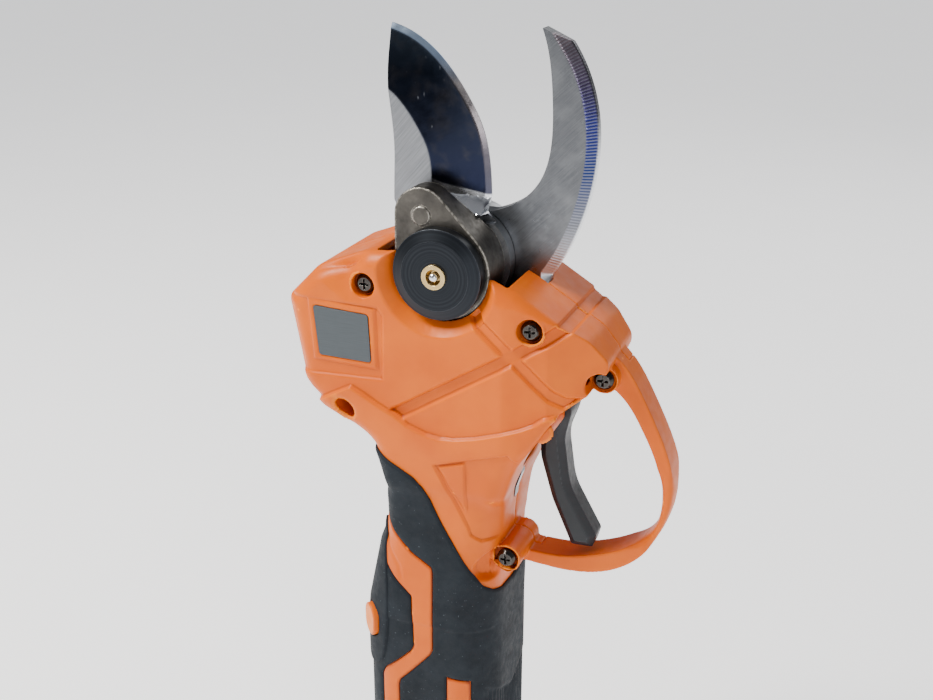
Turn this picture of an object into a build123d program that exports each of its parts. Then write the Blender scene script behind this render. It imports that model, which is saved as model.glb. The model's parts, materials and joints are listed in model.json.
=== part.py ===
"""Battery electric pruner, built as separate pieces.

Frame: origin at the centre of the battery base's underside, +Z up along the handle,
+X towards the trigger and guard, -Y towards the near side. Millimetres.
"""

import os
from math import acos, atan2, cos, hypot, pi, radians, sin, tan

from build123d import *

# ---- driving dimensions -----------------------------------------------------------

# cutting head
PIVOT_X = 5.2
PIVOT_Z = 225.0
PIVOT_BOLT_R = 5.0
PIVOT_RUN = 0.05
PIVOT_BUSH_R = 6.2
PIVOT_DISC_R = 12.5
BLADE_BACK_Y = -0.3
BLADE_THICK = 4.0
HOOK_THICK = 4.5
HOOK_BEVEL_WIDTH = 2.6
HOOK_BEVEL_DEPTH = 2.6
CARRIER_FRONT_Y = -16.4
CARRIER_BOSS_R = 13.5
DRIVE_PIN_X = -0.6
DRIVE_PIN_Z = 239.6
DRIVE_PIN_R = 2.6
FRAME_FRONT_Y = HOOK_THICK
FRAME_BACK_Y = 11.6
FRAME_EYE_R = 13.5

# housing
HALF_THICK = 21.0
WALL = 2.4
HANDLE_HALF = 20.9
HANDLE_CORNER_R = 12.0
GRIP_SKIN = 0.7
HANDLE_BOTTOM = 30.0
GRIP_TOP = 112.0
SHELL_HALF = HANDLE_HALF - GRIP_SKIN
SHELL_CORNER_R = HANDLE_CORNER_R - GRIP_SKIN
CAVITY_HALF = 19.3
CAVITY_CORNER_R = 10.4
GUARD_HALF_Y = 5.0
HEAD_ROUNDING = 5.0

# drive
DRIVE_X = PIVOT_X
DRIVE_Y = 2.0
BEVEL_MODULE = 1.0
BEVEL_SECTOR_R = 30.0
BEVEL_SECTOR_TEETH = 60
PINION_TEETH = 10
BEVEL_FACE = 8.0
PLANET_MODULE = 0.4
SUN_TEETH = 12
PLANET_TEETH = 18
RING_TEETH = 48
PRESSURE_ANGLE = 25.0
GEARBOX_R = 11.6
MOTOR_R = 11.6
MOTOR_BOTTOM = 110.0
MOTOR_TOP = 147.0
STAGE_1_Z = 150.0
STAGE_2_Z = 160.5
GEAR_WIDTH = 5.0
CASE_END = 176.0
COVER_TOP = 182.0
COVER_NOSE_R = 9.0
COLLAR_TOP = 188.0
MOTOR_SHAFT_R = 1.5
OUTPUT_SHAFT_R = 4.0

# battery
CELL_R = 9.0
CELL_OFFSET = 9.08
CELL_LENGTH = 65.0
CELL_BOTTOM = 7.0
CASE_HALF = 19.0
CASE_CORNER_R = 10.1
CASE_WALL = 0.7
CASE_TOP = 80.0
BASE_TOP = HANDLE_BOTTOM - 0.4
LATCH_IN = CASE_HALF - CASE_WALL + 0.1
SOCKET_Z = 16.0

# trigger
TRIGGER_PIVOT_X = 34.2
TRIGGER_PIVOT_Z = 184.0
TRIGGER_PIN_R = 1.5
TRIGGER_HALF_Y = 4.5

# thumb pad and power button, on the near rear corner
PAD_OUTSET = 1.7
BUTTON_Z = 112.0
BUTTON_OUT = 26.3
BUTTON_IN = 21.0
SWITCH_OUT = 19.8

PLANE_XZ = Plane(origin=(0, 0, 0), x_dir=(1, 0, 0), z_dir=(0, -1, 0))
PAD_PLANE = Plane(origin=(0, 0, 0), x_dir=(1, -1, 0), z_dir=(-1, -1, 0))


# ---- small helpers ----------------------------------------------------------------


def slab(sketch, low_y, high_y):
    """Extrude a drawing in X and Z between two Y positions."""
    face = PLANE_XZ.offset(-high_y) * sketch
    return extrude(face, amount=high_y - low_y, dir=(0, -1, 0))


def y_cylinder(x, z, radius, low_y, high_y):
    return slab(Pos(x, z) * Circle(radius), low_y, high_y)


def y_cone(x, z, near_radius, far_radius, low_y, high_y):
    """Cone along Y: near_radius at low_y, far_radius at high_y."""
    cone = Cone(near_radius, far_radius, high_y - low_y)
    return Pos(x, (low_y + high_y) / 2, z) * Rot(-90, 0, 0) * cone


def z_cylinder(x, y, radius, low_z, high_z):
    length = high_z - low_z
    return Pos(x, y, low_z + length / 2) * Cylinder(radius, length)


def x_cylinder(y, z, radius, low_x, high_x):
    length = high_x - low_x
    return Pos(low_x + length / 2, y, z) * Rot(0, 90, 0) * Cylinder(radius, length)


def block(low, high):
    size = [high[i] - low[i] for i in range(3)]
    middle = [(high[i] + low[i]) / 2 for i in range(3)]
    return Pos(*middle) * Box(*size)


def drive_cylinder(radius, low_z, high_z):
    """Cylinder on the motor and gearbox axis."""
    return z_cylinder(DRIVE_X, DRIVE_Y, radius, low_z, high_z)


def drive_ring(outer, inner, low_z, high_z):
    return drive_cylinder(outer, low_z, high_z) - drive_cylinder(inner, low_z - 1, high_z + 1)


def handle_prism(half, corner, low_z, high_z):
    face = Pos(0, 0, low_z) * RectangleRounded(2 * half, 2 * half, corner)
    return extrude(face, amount=high_z - low_z, dir=(0, 0, 1))


def polar(radius, angle):
    return (radius * cos(angle), radius * sin(angle))


def hull_of_two_circles(x1, z1, r1, x2, z2, r2):
    """Teardrop: two circles joined by their outer tangents."""
    gap = hypot(x2 - x1, z2 - z1)
    heading = atan2(z2 - z1, x2 - x1)
    spread = acos((r1 - r2) / gap)
    corners = []
    for x, z, r, side in ((x1, z1, r1, 1), (x1, z1, r1, -1), (x2, z2, r2, -1), (x2, z2, r2, 1)):
        angle = heading + side * spread
        corners.append((x + r * cos(angle), z + r * sin(angle)))
    waist = make_face(Polyline(*corners, close=True))
    return waist + Pos(x1, z1) * Circle(r1) + Pos(x2, z2) * Circle(r2)


# ---- gears ------------------------------------------------------------------------


def involute(angle):
    return tan(angle) - angle


def gear_outline(teeth, module, addendum=0.8, dedendum=1.05, thinning=0.12, internal=False):
    """Involute gear outline with a tooth centred on +X."""
    pitch_r = teeth * module / 2
    pressure = radians(PRESSURE_ANGLE)
    base_r = pitch_r * cos(pressure)
    direction = -1 if internal else 1
    tip_r = pitch_r + direction * addendum * module
    root_r = pitch_r - direction * dedendum * module
    half_tooth = (pi / 2 - thinning) / teeth
    low_r, high_r = sorted((tip_r, root_r))

    def flank_angle(radius):
        if radius <= base_r:
            roll = 0.0
        else:
            roll = involute(acos(base_r / radius))
        return half_tooth + direction * (involute(pressure) - roll)

    radii = [low_r + (high_r - low_r) * step / 3 for step in range(4)]
    if internal:
        radii.reverse()
    points = []
    for tooth in range(teeth):
        middle = 2 * pi * tooth / teeth
        for radius in radii:
            points.append(polar(radius, middle - flank_angle(radius)))
        for radius in reversed(radii):
            points.append(polar(radius, middle + flank_angle(radius)))
    return make_face(Polyline(*points, close=True))


def drive_gear(outline, low_z, high_z, x=0.0, y=0.0, turn=0.0, bore=0.0):
    """Spur gear parallel to the drive axis, at an offset from it."""
    face = Pos(DRIVE_X + x, DRIVE_Y + y, low_z) * Rot(0, 0, turn) * outline
    gear = extrude(face, amount=high_z - low_z, dir=(0, 0, 1))
    if bore > 0:
        gear = gear - z_cylinder(DRIVE_X + x, DRIVE_Y + y, bore, low_z - 1, high_z + 1)
    return gear


def bevel_pinion():
    """Bevel pinion whose teeth shrink towards the point where both gear axes meet."""
    outline = gear_outline(PINION_TEETH, BEVEL_MODULE, thinning=0.25)
    large_z = PIVOT_Z - BEVEL_SECTOR_R
    small_z = large_z + BEVEL_FACE
    shrink = (BEVEL_SECTOR_R - BEVEL_FACE) / BEVEL_SECTOR_R
    large = Pos(DRIVE_X, DRIVE_Y, large_z) * Rot(0, 0, -90) * outline
    small = Pos(DRIVE_X, DRIVE_Y, small_z) * Rot(0, 0, -90) * scale(outline, by=shrink)
    cone = loft([large, small], ruled=True)
    hub = drive_cylinder(4.2, large_z - 2.5, large_z)
    return cone + hub - drive_cylinder(2.5, large_z - 3, small_z + 1)


def bevel_tooth(middle):
    """One straight tooth of the sector gear, along the radius at the given angle."""
    pinion_r = PINION_TEETH * BEVEL_MODULE / 2
    slope = tan(radians(PRESSURE_ANGLE))
    wires = []
    for radius in (BEVEL_SECTOR_R, BEVEL_SECTOR_R - BEVEL_FACE):
        size = BEVEL_MODULE * radius / BEVEL_SECTOR_R
        pitch_y = DRIVE_Y - pinion_r * radius / BEVEL_SECTOR_R
        half = size * (pi / 4 - 0.12)
        tip = 0.8 * size
        root = 1.3 * size
        corners = []
        for side, rise in ((-1, -root), (-1, tip), (1, tip), (1, -root)):
            across = side * (half - rise * slope)
            x, z = polar(radius, middle)
            x -= across * sin(middle)
            z += across * cos(middle)
            corners.append((PIVOT_X + x, pitch_y + rise, PIVOT_Z + z))
        wires.append(make_face(Polyline(*corners, close=True)))
    return loft(wires, ruled=True)


# ---- outlines in X and Z ----------------------------------------------------------


def rounded(corners):
    """Closed outline of straight lines whose corners are rounded: (x, z, radius) each."""
    points = [(x, z) for x, z, radius in corners]
    radii = [radius for x, z, radius in corners]
    return make_face(FilletPolyline(*points, radius=radii, close=True))


def head_outline():
    """Side view of the housing's head, down to where the neck takes over."""
    top = [(-41.1, 213.0, 2.5), (-31.3, 223.0, 8), (-15.8, 229.0, 12), (-5.3, 230.0, 2)]
    nose = [(20.7, 224.5, 1.5), (26.5, 221.8, 8), (46.0, 209.9, 8), (51.5, 203.2, 4), (48.7, 196.5, 5)]
    front = [(37.7, 188.0, 8), (27.0, 170.0, 18), (23.0, 158.0, 0)]
    rear = [(-15.2, 158.0, 0), (-19.3, 174.0, 8), (-31.3, 182.0, 6), (-36.8, 189.0, 5)]
    return rounded(top + nose + front + rear)


def plan_outline(half):
    """Top view of the head: full width at the back, narrowing towards the nose."""
    side = [(-60.0, 0.0), (24.0, 0.0), (36.0, 2.2), (52.0, 9.0), (60.0, 13.0)]
    near = [(x, cut - half) for x, cut in side]
    far = [(x, half - cut) for x, cut in reversed(side)]
    return make_face(Polyline(*near, *far, close=True))


def blade_outline():
    """Moving blade: curved cutting edge on the right, nearly straight spine on the left."""
    tip = (-15.0, 287.0)
    heel = (13.5, 242.5)
    edge = Spline(tip, (-2.9, 280.8), (7.4, 267.8), heel, tangents=[(1, -0.25), (0.02, -1)])
    shoulder = Polyline(heel, (12.2, 238.0), (5.2, 232.0), (-9.8, 232.0), (-13.8, 240.0))
    spine = Spline((-13.8, 240.0), (-13.5, 256.0), (-15.4, 276.0), tip, tangents=[(0, 1), (0.05, 1)])
    plate = make_face([edge, shoulder, spine])
    return plate + Pos(PIVOT_X, PIVOT_Z) * Circle(15.0)


def hook_outline():
    """Fixed hooked blade with its root plate around the pivot."""
    tip = (26.5, 287.3)
    shoulder = (33.9, 283.9)
    inner = Spline(tip, (29.7, 269.4), (27.1, 248.3), (13.7, 238.3), tangents=[(0.4, -1), (-1, -0.3)])
    root_points = [(13.7, 238.3), (0.2, 238.5), (-9.8, 225.0), (-5.8, 210.0)]
    root_points += [(16.2, 207.0), (28.2, 214.0), (30.2, 221.5)]
    root = Polyline(*root_points)
    outer = Spline((30.2, 221.5), (37.9, 236.8), (41.8, 258.0), shoulder, tangents=[(0.7, 1), (-0.7, 1)])
    end = Line(shoulder, tip)
    return make_face([inner, root, outer, end])


def guard_outline():
    """Finger guard loop: the band between two smooth curves, rooted in the nose and the neck."""
    outer_points = [(43.2, 207.0), (54.0, 199.8), (59.3, 191.3), (64.4, 181.0), (68.1, 170.4), (68.6, 161.7)]
    outer_points += [(65.7, 151.5), (58.6, 141.3), (49.1, 135.8), (38.1, 134.2), (26.6, 134.8), (17.2, 135.0)]
    inner_points = [(17.2, 140.0), (28.6, 138.6), (37.2, 138.7), (46.7, 140.9), (56.8, 145.6), (63.4, 152.0)]
    inner_points += [(65.3, 162.0), (63.5, 172.8), (59.3, 182.0), (53.4, 191.0), (43.2, 196.0)]
    outer = Spline(*outer_points)
    inner = Spline(*inner_points)
    return make_face([outer, Line(outer @ 1, inner @ 0), inner, Line(inner @ 1, outer @ 0)])


def trigger_outline():
    """Finger lever with the arm that carries its magnet inside the housing."""
    lever = [(39.7, 186.5, 3), (36.6, 176.0, 12), (38.8, 161.0, 20), (47.0, 146.5, 1), (46.0, 142.5, 0.5)]
    back = [(39.7, 142.2, 1), (33.6, 156.0, 20), (29.8, 169.0, 10), (29.7, 177.0, 2)]
    arm = [(24.7, 179.0, 1), (24.7, 185.0, 1), (31.2, 188.5, 3)]
    return rounded(lever + back + arm)


# ---- cutting head -----------------------------------------------------------------


def moving_blade():
    plate = slab(blade_outline(), BLADE_BACK_Y - BLADE_THICK, BLADE_BACK_Y)
    bore = y_cylinder(PIVOT_X, PIVOT_Z, PIVOT_BUSH_R, -20, 20)
    pin_hole = y_cylinder(DRIVE_PIN_X, DRIVE_PIN_Z, DRIVE_PIN_R, -20, 20)
    return plate - bore - pin_hole


def fixed_blade():
    plate = slab(hook_outline(), 0, HOOK_THICK)
    back_edges = plate.edges().filter_by(lambda edge: edge.center().Y < 0.01)
    outer_edge = back_edges.sort_by_distance((41.8, 0, 258.0))[0]
    plate = chamfer(outer_edge, HOOK_BEVEL_DEPTH, HOOK_BEVEL_WIDTH, reference=hook_face(plate))
    plate = plate - y_cylinder(PIVOT_X, PIVOT_Z, PIVOT_BOLT_R, -20, 20)
    for x, z in frame_screw_places():
        plate = plate - y_cylinder(x, z, 2.0, -1, 10)
    return plate


def hook_face(plate):
    return plate.faces().sort_by(Axis.Y)[0]


def frame_screw_places():
    return ((-2.8, 213.5), (16.7, 211.5))


def sector_gear():
    """Cast carrier clamped on the blade: teardrop boss, web and bevel teeth."""
    blade_face = BLADE_BACK_Y - BLADE_THICK
    boss = slab(
        hull_of_two_circles(PIVOT_X, PIVOT_Z, CARRIER_BOSS_R, DRIVE_PIN_X, DRIVE_PIN_Z, 7.6),
        CARRIER_FRONT_Y,
        blade_face,
    )
    low_angle = -101.0
    high_angle = -39.0
    inner_r = BEVEL_SECTOR_R - BEVEL_FACE
    pinion_r = PINION_TEETH * BEVEL_MODULE / 2
    root_outer = DRIVE_Y - pinion_r - 1.1 * BEVEL_MODULE
    root_inner = DRIVE_Y - (pinion_r + 1.1 * BEVEL_MODULE) * inner_r / BEVEL_SECTOR_R
    profile = Polyline(
        (10.0, -11.0),
        (BEVEL_SECTOR_R, -11.0),
        (BEVEL_SECTOR_R, root_outer),
        (inner_r, root_inner),
        (inner_r, blade_face),
        (10.0, blade_face),
        close=True,
    )
    section = make_face(profile)
    section = Pos(PIVOT_X, 0, PIVOT_Z) * Rot(0, -low_angle, 0) * section
    axis = Axis((PIVOT_X, 0, PIVOT_Z), (0, -1, 0))
    web = revolve(section, axis=axis, revolution_arc=high_angle - low_angle)
    gear = boss + web
    pitch = 360.0 / BEVEL_SECTOR_TEETH
    for step in range(-2, 8):
        gear = gear + bevel_tooth(radians(-90.0 + (step + 0.5) * pitch))
    gear = gear - y_cylinder(PIVOT_X, PIVOT_Z, PIVOT_BUSH_R, -20, 20)
    return gear - y_cylinder(DRIVE_PIN_X, DRIVE_PIN_Z, DRIVE_PIN_R, -20, 20)


def pivot_bush():
    """Bronze bush pressed into the blade and its carrier; it turns on the pivot bolt."""
    bush = y_cylinder(PIVOT_X, PIVOT_Z, PIVOT_BUSH_R, CARRIER_FRONT_Y, BLADE_BACK_Y)
    return bush - y_cylinder(PIVOT_X, PIVOT_Z, PIVOT_BOLT_R + PIVOT_RUN, -20, 20)


def drive_pin():
    return y_cylinder(DRIVE_PIN_X, DRIVE_PIN_Z, DRIVE_PIN_R, CARRIER_FRONT_Y - 0.2, BLADE_BACK_Y)


def pivot_bolt():
    shank = y_cylinder(PIVOT_X, PIVOT_Z, PIVOT_BOLT_R, -20.0, FRAME_BACK_Y)
    head = slab(Pos(PIVOT_X, PIVOT_Z) * RegularPolygon(8.0, 6), FRAME_BACK_Y, FRAME_BACK_Y + 5.0)
    return shank + head


def pivot_disc():
    """Domed nut that closes the pivot."""
    rim = y_cylinder(PIVOT_X, PIVOT_Z, PIVOT_DISC_R, -20.2, -16.9)
    dome = y_cone(PIVOT_X, PIVOT_Z, PIVOT_DISC_R - 3.0, PIVOT_DISC_R, -21.6, -20.2)
    disc = rim + dome
    disc = disc - y_cylinder(PIVOT_X, PIVOT_Z, PIVOT_BOLT_R, -20.0, -16.0)
    return disc - y_cylinder(PIVOT_X, PIVOT_Z, 3.35, -25, -19)


def grease_fitting():
    cup = y_cylinder(PIVOT_X, PIVOT_Z, 3.35, -22.4, -20.0)
    return cup - y_cone(PIVOT_X, PIVOT_Z, 2.2, 1.5, -22.4, -20.4)


def grease_ball():
    return Pos(PIVOT_X, -21.75, PIVOT_Z) * Sphere(1.3)


def head_frame():
    """Aluminium frame: back plate behind the fixed blade, legs and the gearbox collar."""
    plate = slab(Pos(PIVOT_X, PIVOT_Z) * Circle(FRAME_EYE_R), FRAME_FRONT_Y, FRAME_BACK_Y)
    low_x = PIVOT_X - 14.0
    high_x = PIVOT_X + 16.5
    apron = block((low_x, FRAME_FRONT_Y, 207.0), (high_x, FRAME_BACK_Y, 219.0))
    frame = plate + apron
    for leg_x in (low_x, high_x - 7.0):
        frame = frame + block((leg_x, FRAME_FRONT_Y, 184.0), (leg_x + 7.0, FRAME_BACK_Y, 210.0))
    frame = frame + block((low_x, -8.0, COVER_TOP), (high_x, FRAME_BACK_Y, COLLAR_TOP))
    frame = frame - drive_cylinder(COVER_NOSE_R, COVER_TOP - 2, COLLAR_TOP + 2)
    for x in gearbox_screw_places():
        frame = frame - z_cylinder(x, DRIVE_Y, 1.0, COVER_TOP - 1, COLLAR_TOP + 1)
    frame = frame - y_cylinder(PIVOT_X, PIVOT_Z, PIVOT_BOLT_R, -20, 20)
    for x, z in frame_screw_places():
        frame = frame - y_cylinder(x, z, 2.0, -1, 20)
    return frame


def gearbox_screw_places():
    return (DRIVE_X - 10.3, DRIVE_X + 10.3)


def gearbox_screws():
    screws = []
    for x in gearbox_screw_places():
        shank = z_cylinder(x, DRIVE_Y, 1.0, CASE_END, COLLAR_TOP)
        screws.append(shank + z_cylinder(x, DRIVE_Y, 1.9, COLLAR_TOP, COLLAR_TOP + 2.0))
    return Compound(children=screws)


def frame_screws():
    screws = []
    for x, z in frame_screw_places():
        shank = y_cylinder(x, z, 2.0, 0.5, FRAME_BACK_Y)
        screws.append(shank + y_cylinder(x, z, 3.4, FRAME_BACK_Y, FRAME_BACK_Y + 2.4))
    return Compound(children=screws)


# ---- gearbox and motor ------------------------------------------------------------


def gearbox_case():
    """Case whose inside is the fixed ring gear of both stages."""
    body = drive_cylinder(GEARBOX_R, MOTOR_TOP, CASE_END)
    ring = gear_outline(RING_TEETH, PLANET_MODULE, internal=True)
    return body - drive_gear(ring, MOTOR_TOP - 1, CASE_END + 1)


def gearbox_cover():
    flange = drive_ring(GEARBOX_R, OUTPUT_SHAFT_R + 1.5, CASE_END, COVER_TOP)
    nose = drive_ring(COVER_NOSE_R, 8.0, COVER_TOP, COLLAR_TOP)
    cover = flange + nose
    for x in gearbox_screw_places():
        cover = cover - z_cylinder(x, DRIVE_Y, 1.0, CASE_END - 1, COVER_TOP + 1)
    return cover


def output_bearing():
    return drive_ring(8.0, OUTPUT_SHAFT_R + 0.05, COVER_TOP, COLLAR_TOP)


def planet_centre(index):
    radius = PLANET_MODULE * (SUN_TEETH + PLANET_TEETH) / 2
    return polar(radius, 2 * pi * index / 3)


def planet_pins(low_z, high_z):
    pins = None
    for index in range(3):
        x, y = planet_centre(index)
        pin = z_cylinder(DRIVE_X + x, DRIVE_Y + y, 1.2, low_z, high_z)
        pins = pin if pins is None else pins + pin
    return pins


def planet_gear(stage_z, index):
    outline = gear_outline(PLANET_TEETH, PLANET_MODULE)
    x, y = planet_centre(index)
    turn = 360.0 / 3 * index + 180.0 / PLANET_TEETH
    return drive_gear(outline, stage_z, stage_z + GEAR_WIDTH, x, y, turn, bore=1.25)


def first_sun():
    outline = gear_outline(SUN_TEETH, PLANET_MODULE)
    return drive_gear(outline, STAGE_1_Z - 0.5, STAGE_1_Z + GEAR_WIDTH, bore=MOTOR_SHAFT_R)


def first_carrier():
    plate = drive_cylinder(8.4, STAGE_1_Z + GEAR_WIDTH + 0.4, STAGE_2_Z - 1.2)
    stub = drive_cylinder(1.5, STAGE_2_Z - 1.2, STAGE_2_Z + GEAR_WIDTH)
    pins = planet_pins(STAGE_1_Z + 0.2, STAGE_1_Z + GEAR_WIDTH + 0.4)
    return plate + stub + pins


def second_sun():
    outline = gear_outline(SUN_TEETH, PLANET_MODULE)
    return drive_gear(outline, STAGE_2_Z - 1.2, STAGE_2_Z + GEAR_WIDTH, bore=1.5)


def output_carrier():
    plate_z = STAGE_2_Z + GEAR_WIDTH + 0.5
    plate = drive_cylinder(8.4, plate_z, plate_z + 3.0)
    shaft = drive_cylinder(OUTPUT_SHAFT_R, plate_z, 192.0)
    spigot = drive_cylinder(2.5, 192.0, PIVOT_Z - BEVEL_SECTOR_R + BEVEL_FACE)
    pins = planet_pins(STAGE_2_Z + 0.2, plate_z)
    return plate + shaft + spigot + pins


def motor_can():
    can = drive_ring(MOTOR_R, MOTOR_R - 1.0, MOTOR_BOTTOM + 3.0, MOTOR_TOP - 3.0)
    front = drive_ring(MOTOR_R, 4.0, MOTOR_TOP - 3.0, MOTOR_TOP)
    return can + front


def motor_end_cap():
    return drive_ring(MOTOR_R, 4.0, MOTOR_BOTTOM, MOTOR_BOTTOM + 3.0)


def motor_bearings():
    front = drive_ring(4.0, MOTOR_SHAFT_R + 0.05, MOTOR_TOP - 3.0, MOTOR_TOP - 0.3)
    rear = drive_ring(4.0, MOTOR_SHAFT_R + 0.05, MOTOR_BOTTOM + 0.3, MOTOR_BOTTOM + 3.0)
    return Compound(children=[front, rear])


def stator():
    """Laminated ring with six wound teeth."""
    low = MOTOR_BOTTOM + 6.0
    high = MOTOR_TOP - 6.0
    ring = drive_ring(MOTOR_R - 1.0, MOTOR_R - 2.6, low, high)
    for index in range(6):
        tooth = Pos(8.4, 0) * Rectangle(3.0, 4.6)
        face = Pos(DRIVE_X, DRIVE_Y, low) * Rot(0, 0, 60 * index) * tooth
        ring = ring + extrude(face, amount=high - low, dir=(0, 0, 1))
    return ring


def motor_shaft():
    return drive_cylinder(MOTOR_SHAFT_R, MOTOR_BOTTOM - 1.0, STAGE_1_Z + GEAR_WIDTH)


def rotor_magnet():
    return drive_ring(6.3, MOTOR_SHAFT_R, MOTOR_BOTTOM + 5.0, MOTOR_TOP - 5.0)


# ---- housing ----------------------------------------------------------------------


class ShellScrew:
    """One near-side screw: its place, the seat under its head and the end of its shank."""

    def __init__(self, x, z, seat_y, end_y, post_r, near_end=-19.5):
        self.x = x
        self.z = z
        self.seat_y = seat_y
        self.end_y = end_y
        self.post_r = post_r
        self.near_end = near_end

    def cylinder(self, radius, low_y, high_y):
        return y_cylinder(self.x, self.z, radius, low_y, high_y)


SCREW_HEAD_R = 2.8
SCREW_HEAD_HEIGHT = 1.9
SCREW_SHANK_R = 1.3
SHELL_SCREWS = (
    ShellScrew(-16.3, 219.7, -17.6, 10.0, 4.2),
    ShellScrew(31.2, 212.3, -17.6, 10.0, 4.2),
    ShellScrew(-23.8, 183.1, -9.0, 10.0, 4.2),
    ShellScrew(48.6, 197.2, -7.4, 4.5, 4.0, -8.4),
    ShellScrew(23.3, 139.3, -12.0, 4.5, 4.2, -13.0),
)
NEAR_HALF = ((-80, -40, -5), (80, 0, 300))
FAR_HALF = ((-80, 0, -5), (80, 40, 300))


def neck_section(z, low_x, high_x, half_y, corner, inset):
    """One level of the neck: a rounded rectangle, smaller all round by the inset."""
    width = high_x - low_x - 2 * inset
    depth = 2 * (half_y - inset)
    return Pos((low_x + high_x) / 2, 0, z) * RectangleRounded(width, depth, corner - inset)


def neck_solid(inset):
    """Waist between the handle and the head."""
    levels = (
        (GRIP_TOP, -SHELL_HALF, SHELL_HALF, SHELL_HALF, SHELL_CORNER_R),
        (118.0, -19.6, 20.2, SHELL_HALF, SHELL_CORNER_R),
        (142.0, -14.8, 21.0, 19.4, 11.0),
        (158.0, -15.2, 23.0, 19.6, 9.0),
        (170.0, -17.6, 27.0, 20.4, 7.0),
    )
    return loft([neck_section(*level, inset) for level in levels], ruled=True)


def housing_solid(inset):
    """The closed housing body, smaller all round by the inset."""
    half = HALF_THICK - inset
    outline = head_outline()
    if inset > 0:
        outline = offset(outline, amount=-inset)
    head = slab(outline, -half, half)
    if inset == 0:
        head = fillet(head.faces().filter_by(Axis.Y).edges(), HEAD_ROUNDING)
    head = head & extrude(plan_outline(half), amount=300, dir=(0, 0, 1))
    handle = handle_prism(SHELL_HALF, SHELL_CORNER_R, HANDLE_BOTTOM, GRIP_TOP)
    return head + neck_solid(inset) + handle


def housing_cavity():
    """Inside of the housing: head, neck and the straight bore for the battery."""
    upper = housing_solid(WALL) & block((-80, -40, GRIP_TOP), (80, 40, 300))
    bore = handle_prism(CAVITY_HALF, CAVITY_CORNER_R, HANDLE_BOTTOM - 1, GRIP_TOP)
    return upper + bore


def cutter_pocket():
    """Room for the blade, its carrier and the fixed blade at the top of the near shell."""
    pocket = y_cylinder(PIVOT_X, PIVOT_Z, 19.0, -16.7, 0)
    mouth = block((-7.0, -16.7, 216.0), (23.0, 0, 240.0))
    bowl = y_cone(PIVOT_X, PIVOT_Z, 17.5, 13.2, -21.2, -16.6)
    notch = block((-7.0, -22.0, 227.0), (19.5, -16.0, 240.0))
    return pocket + mouth + bowl + notch


def far_pocket():
    """Room for the fixed blade, and the round recess that shows the pivot nut."""
    slot = slab(hook_outline(), -1, HOOK_THICK + 0.1)
    recess = y_cylinder(PIVOT_X, PIVOT_Z, FRAME_EYE_R + 0.6, 0, 22)
    above = block((PIVOT_X - 14.1, 0, PIVOT_Z), (PIVOT_X + 14.1, 22, PIVOT_Z + 20))
    return slot + recess + above


def trigger_slot():
    return block((21.0, -TRIGGER_HALF_Y - 0.4, 166.0), (46.0, TRIGGER_HALF_Y + 0.4, 191.0))


def latch_notches():
    """Open channels in the handle's rim for the battery latches."""
    return block((-4.6, -24, HANDLE_BOTTOM - 1), (4.6, 24, HANDLE_BOTTOM + 4.6))


def hollow_housing():
    return housing_solid(0) - housing_cavity()


def pad_leaf():
    """Leaf-shaped region on the near rear corner of the handle that the thumb pad covers."""
    side = ThreePointArc((0, 147.0), (6.9, 121.0), (5.6, 102.0))
    end = ThreePointArc((5.6, 102.0), (0, 97.0), (-5.6, 102.0))
    mirrored = ThreePointArc((-5.6, 102.0), (-6.9, 121.0), (0, 147.0))
    face = PAD_PLANE.offset(12.0) * make_face([side, end, mirrored])
    return extrude(face, amount=20.0, dir=tuple(PAD_PLANE.z_dir))


def waist_and_handle(outset):
    """Neck and handle together, larger all round by the outset."""
    handle = handle_prism(SHELL_HALF + outset, SHELL_CORNER_R + outset, 84.0, GRIP_TOP)
    return handle + neck_solid(-outset)


def near_shell():
    shell = hollow_housing() & block(*NEAR_HALF)
    shell = shell + (y_cylinder(PIVOT_X, PIVOT_Z, 18.0, -20.9, -16.9) & housing_solid(0))
    for screw in SHELL_SCREWS:
        shell = shell + screw.cylinder(screw.post_r, screw.near_end, 0)
    shell = shell + y_cylinder(TRIGGER_PIVOT_X, TRIGGER_PIVOT_Z, 3.0, -17.5, -TRIGGER_HALF_Y - 0.5)
    shell = shell - cutter_pocket() - trigger_slot() - latch_notches()
    guard = slab(guard_outline(), -GUARD_HALF_Y, GUARD_HALF_Y) - housing_solid(WALL)
    shell = shell + guard - guard_stubs()
    for screw in SHELL_SCREWS:
        shell = shell - screw.cylinder(SCREW_SHANK_R + 0.1, -22, 6)
        shell = shell - screw.cylinder(SCREW_HEAD_R + 0.7, -22, screw.seat_y)
    shell = shell - y_cylinder(TRIGGER_PIVOT_X, TRIGGER_PIVOT_Z, TRIGGER_PIN_R, -12, 0)
    shell = shell - label_plate() - sensor_window() - button_shape(0.3, 1.15)
    return largest_solid(shell)


def guard_stubs():
    """Far halves of the guard's two roots, which belong to the far shell."""
    low_root = block((-20, 0, 120), (29.8, 10, 150))
    high_root = block((20, 0, 189), (53.2, 10, 215))
    band = slab(guard_outline(), 0, GUARD_HALF_Y) - housing_solid(WALL)
    return band & (low_root + high_root)


def largest_solid(shape):
    return shape.solids().sort_by(SortBy.VOLUME)[-1]


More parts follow.
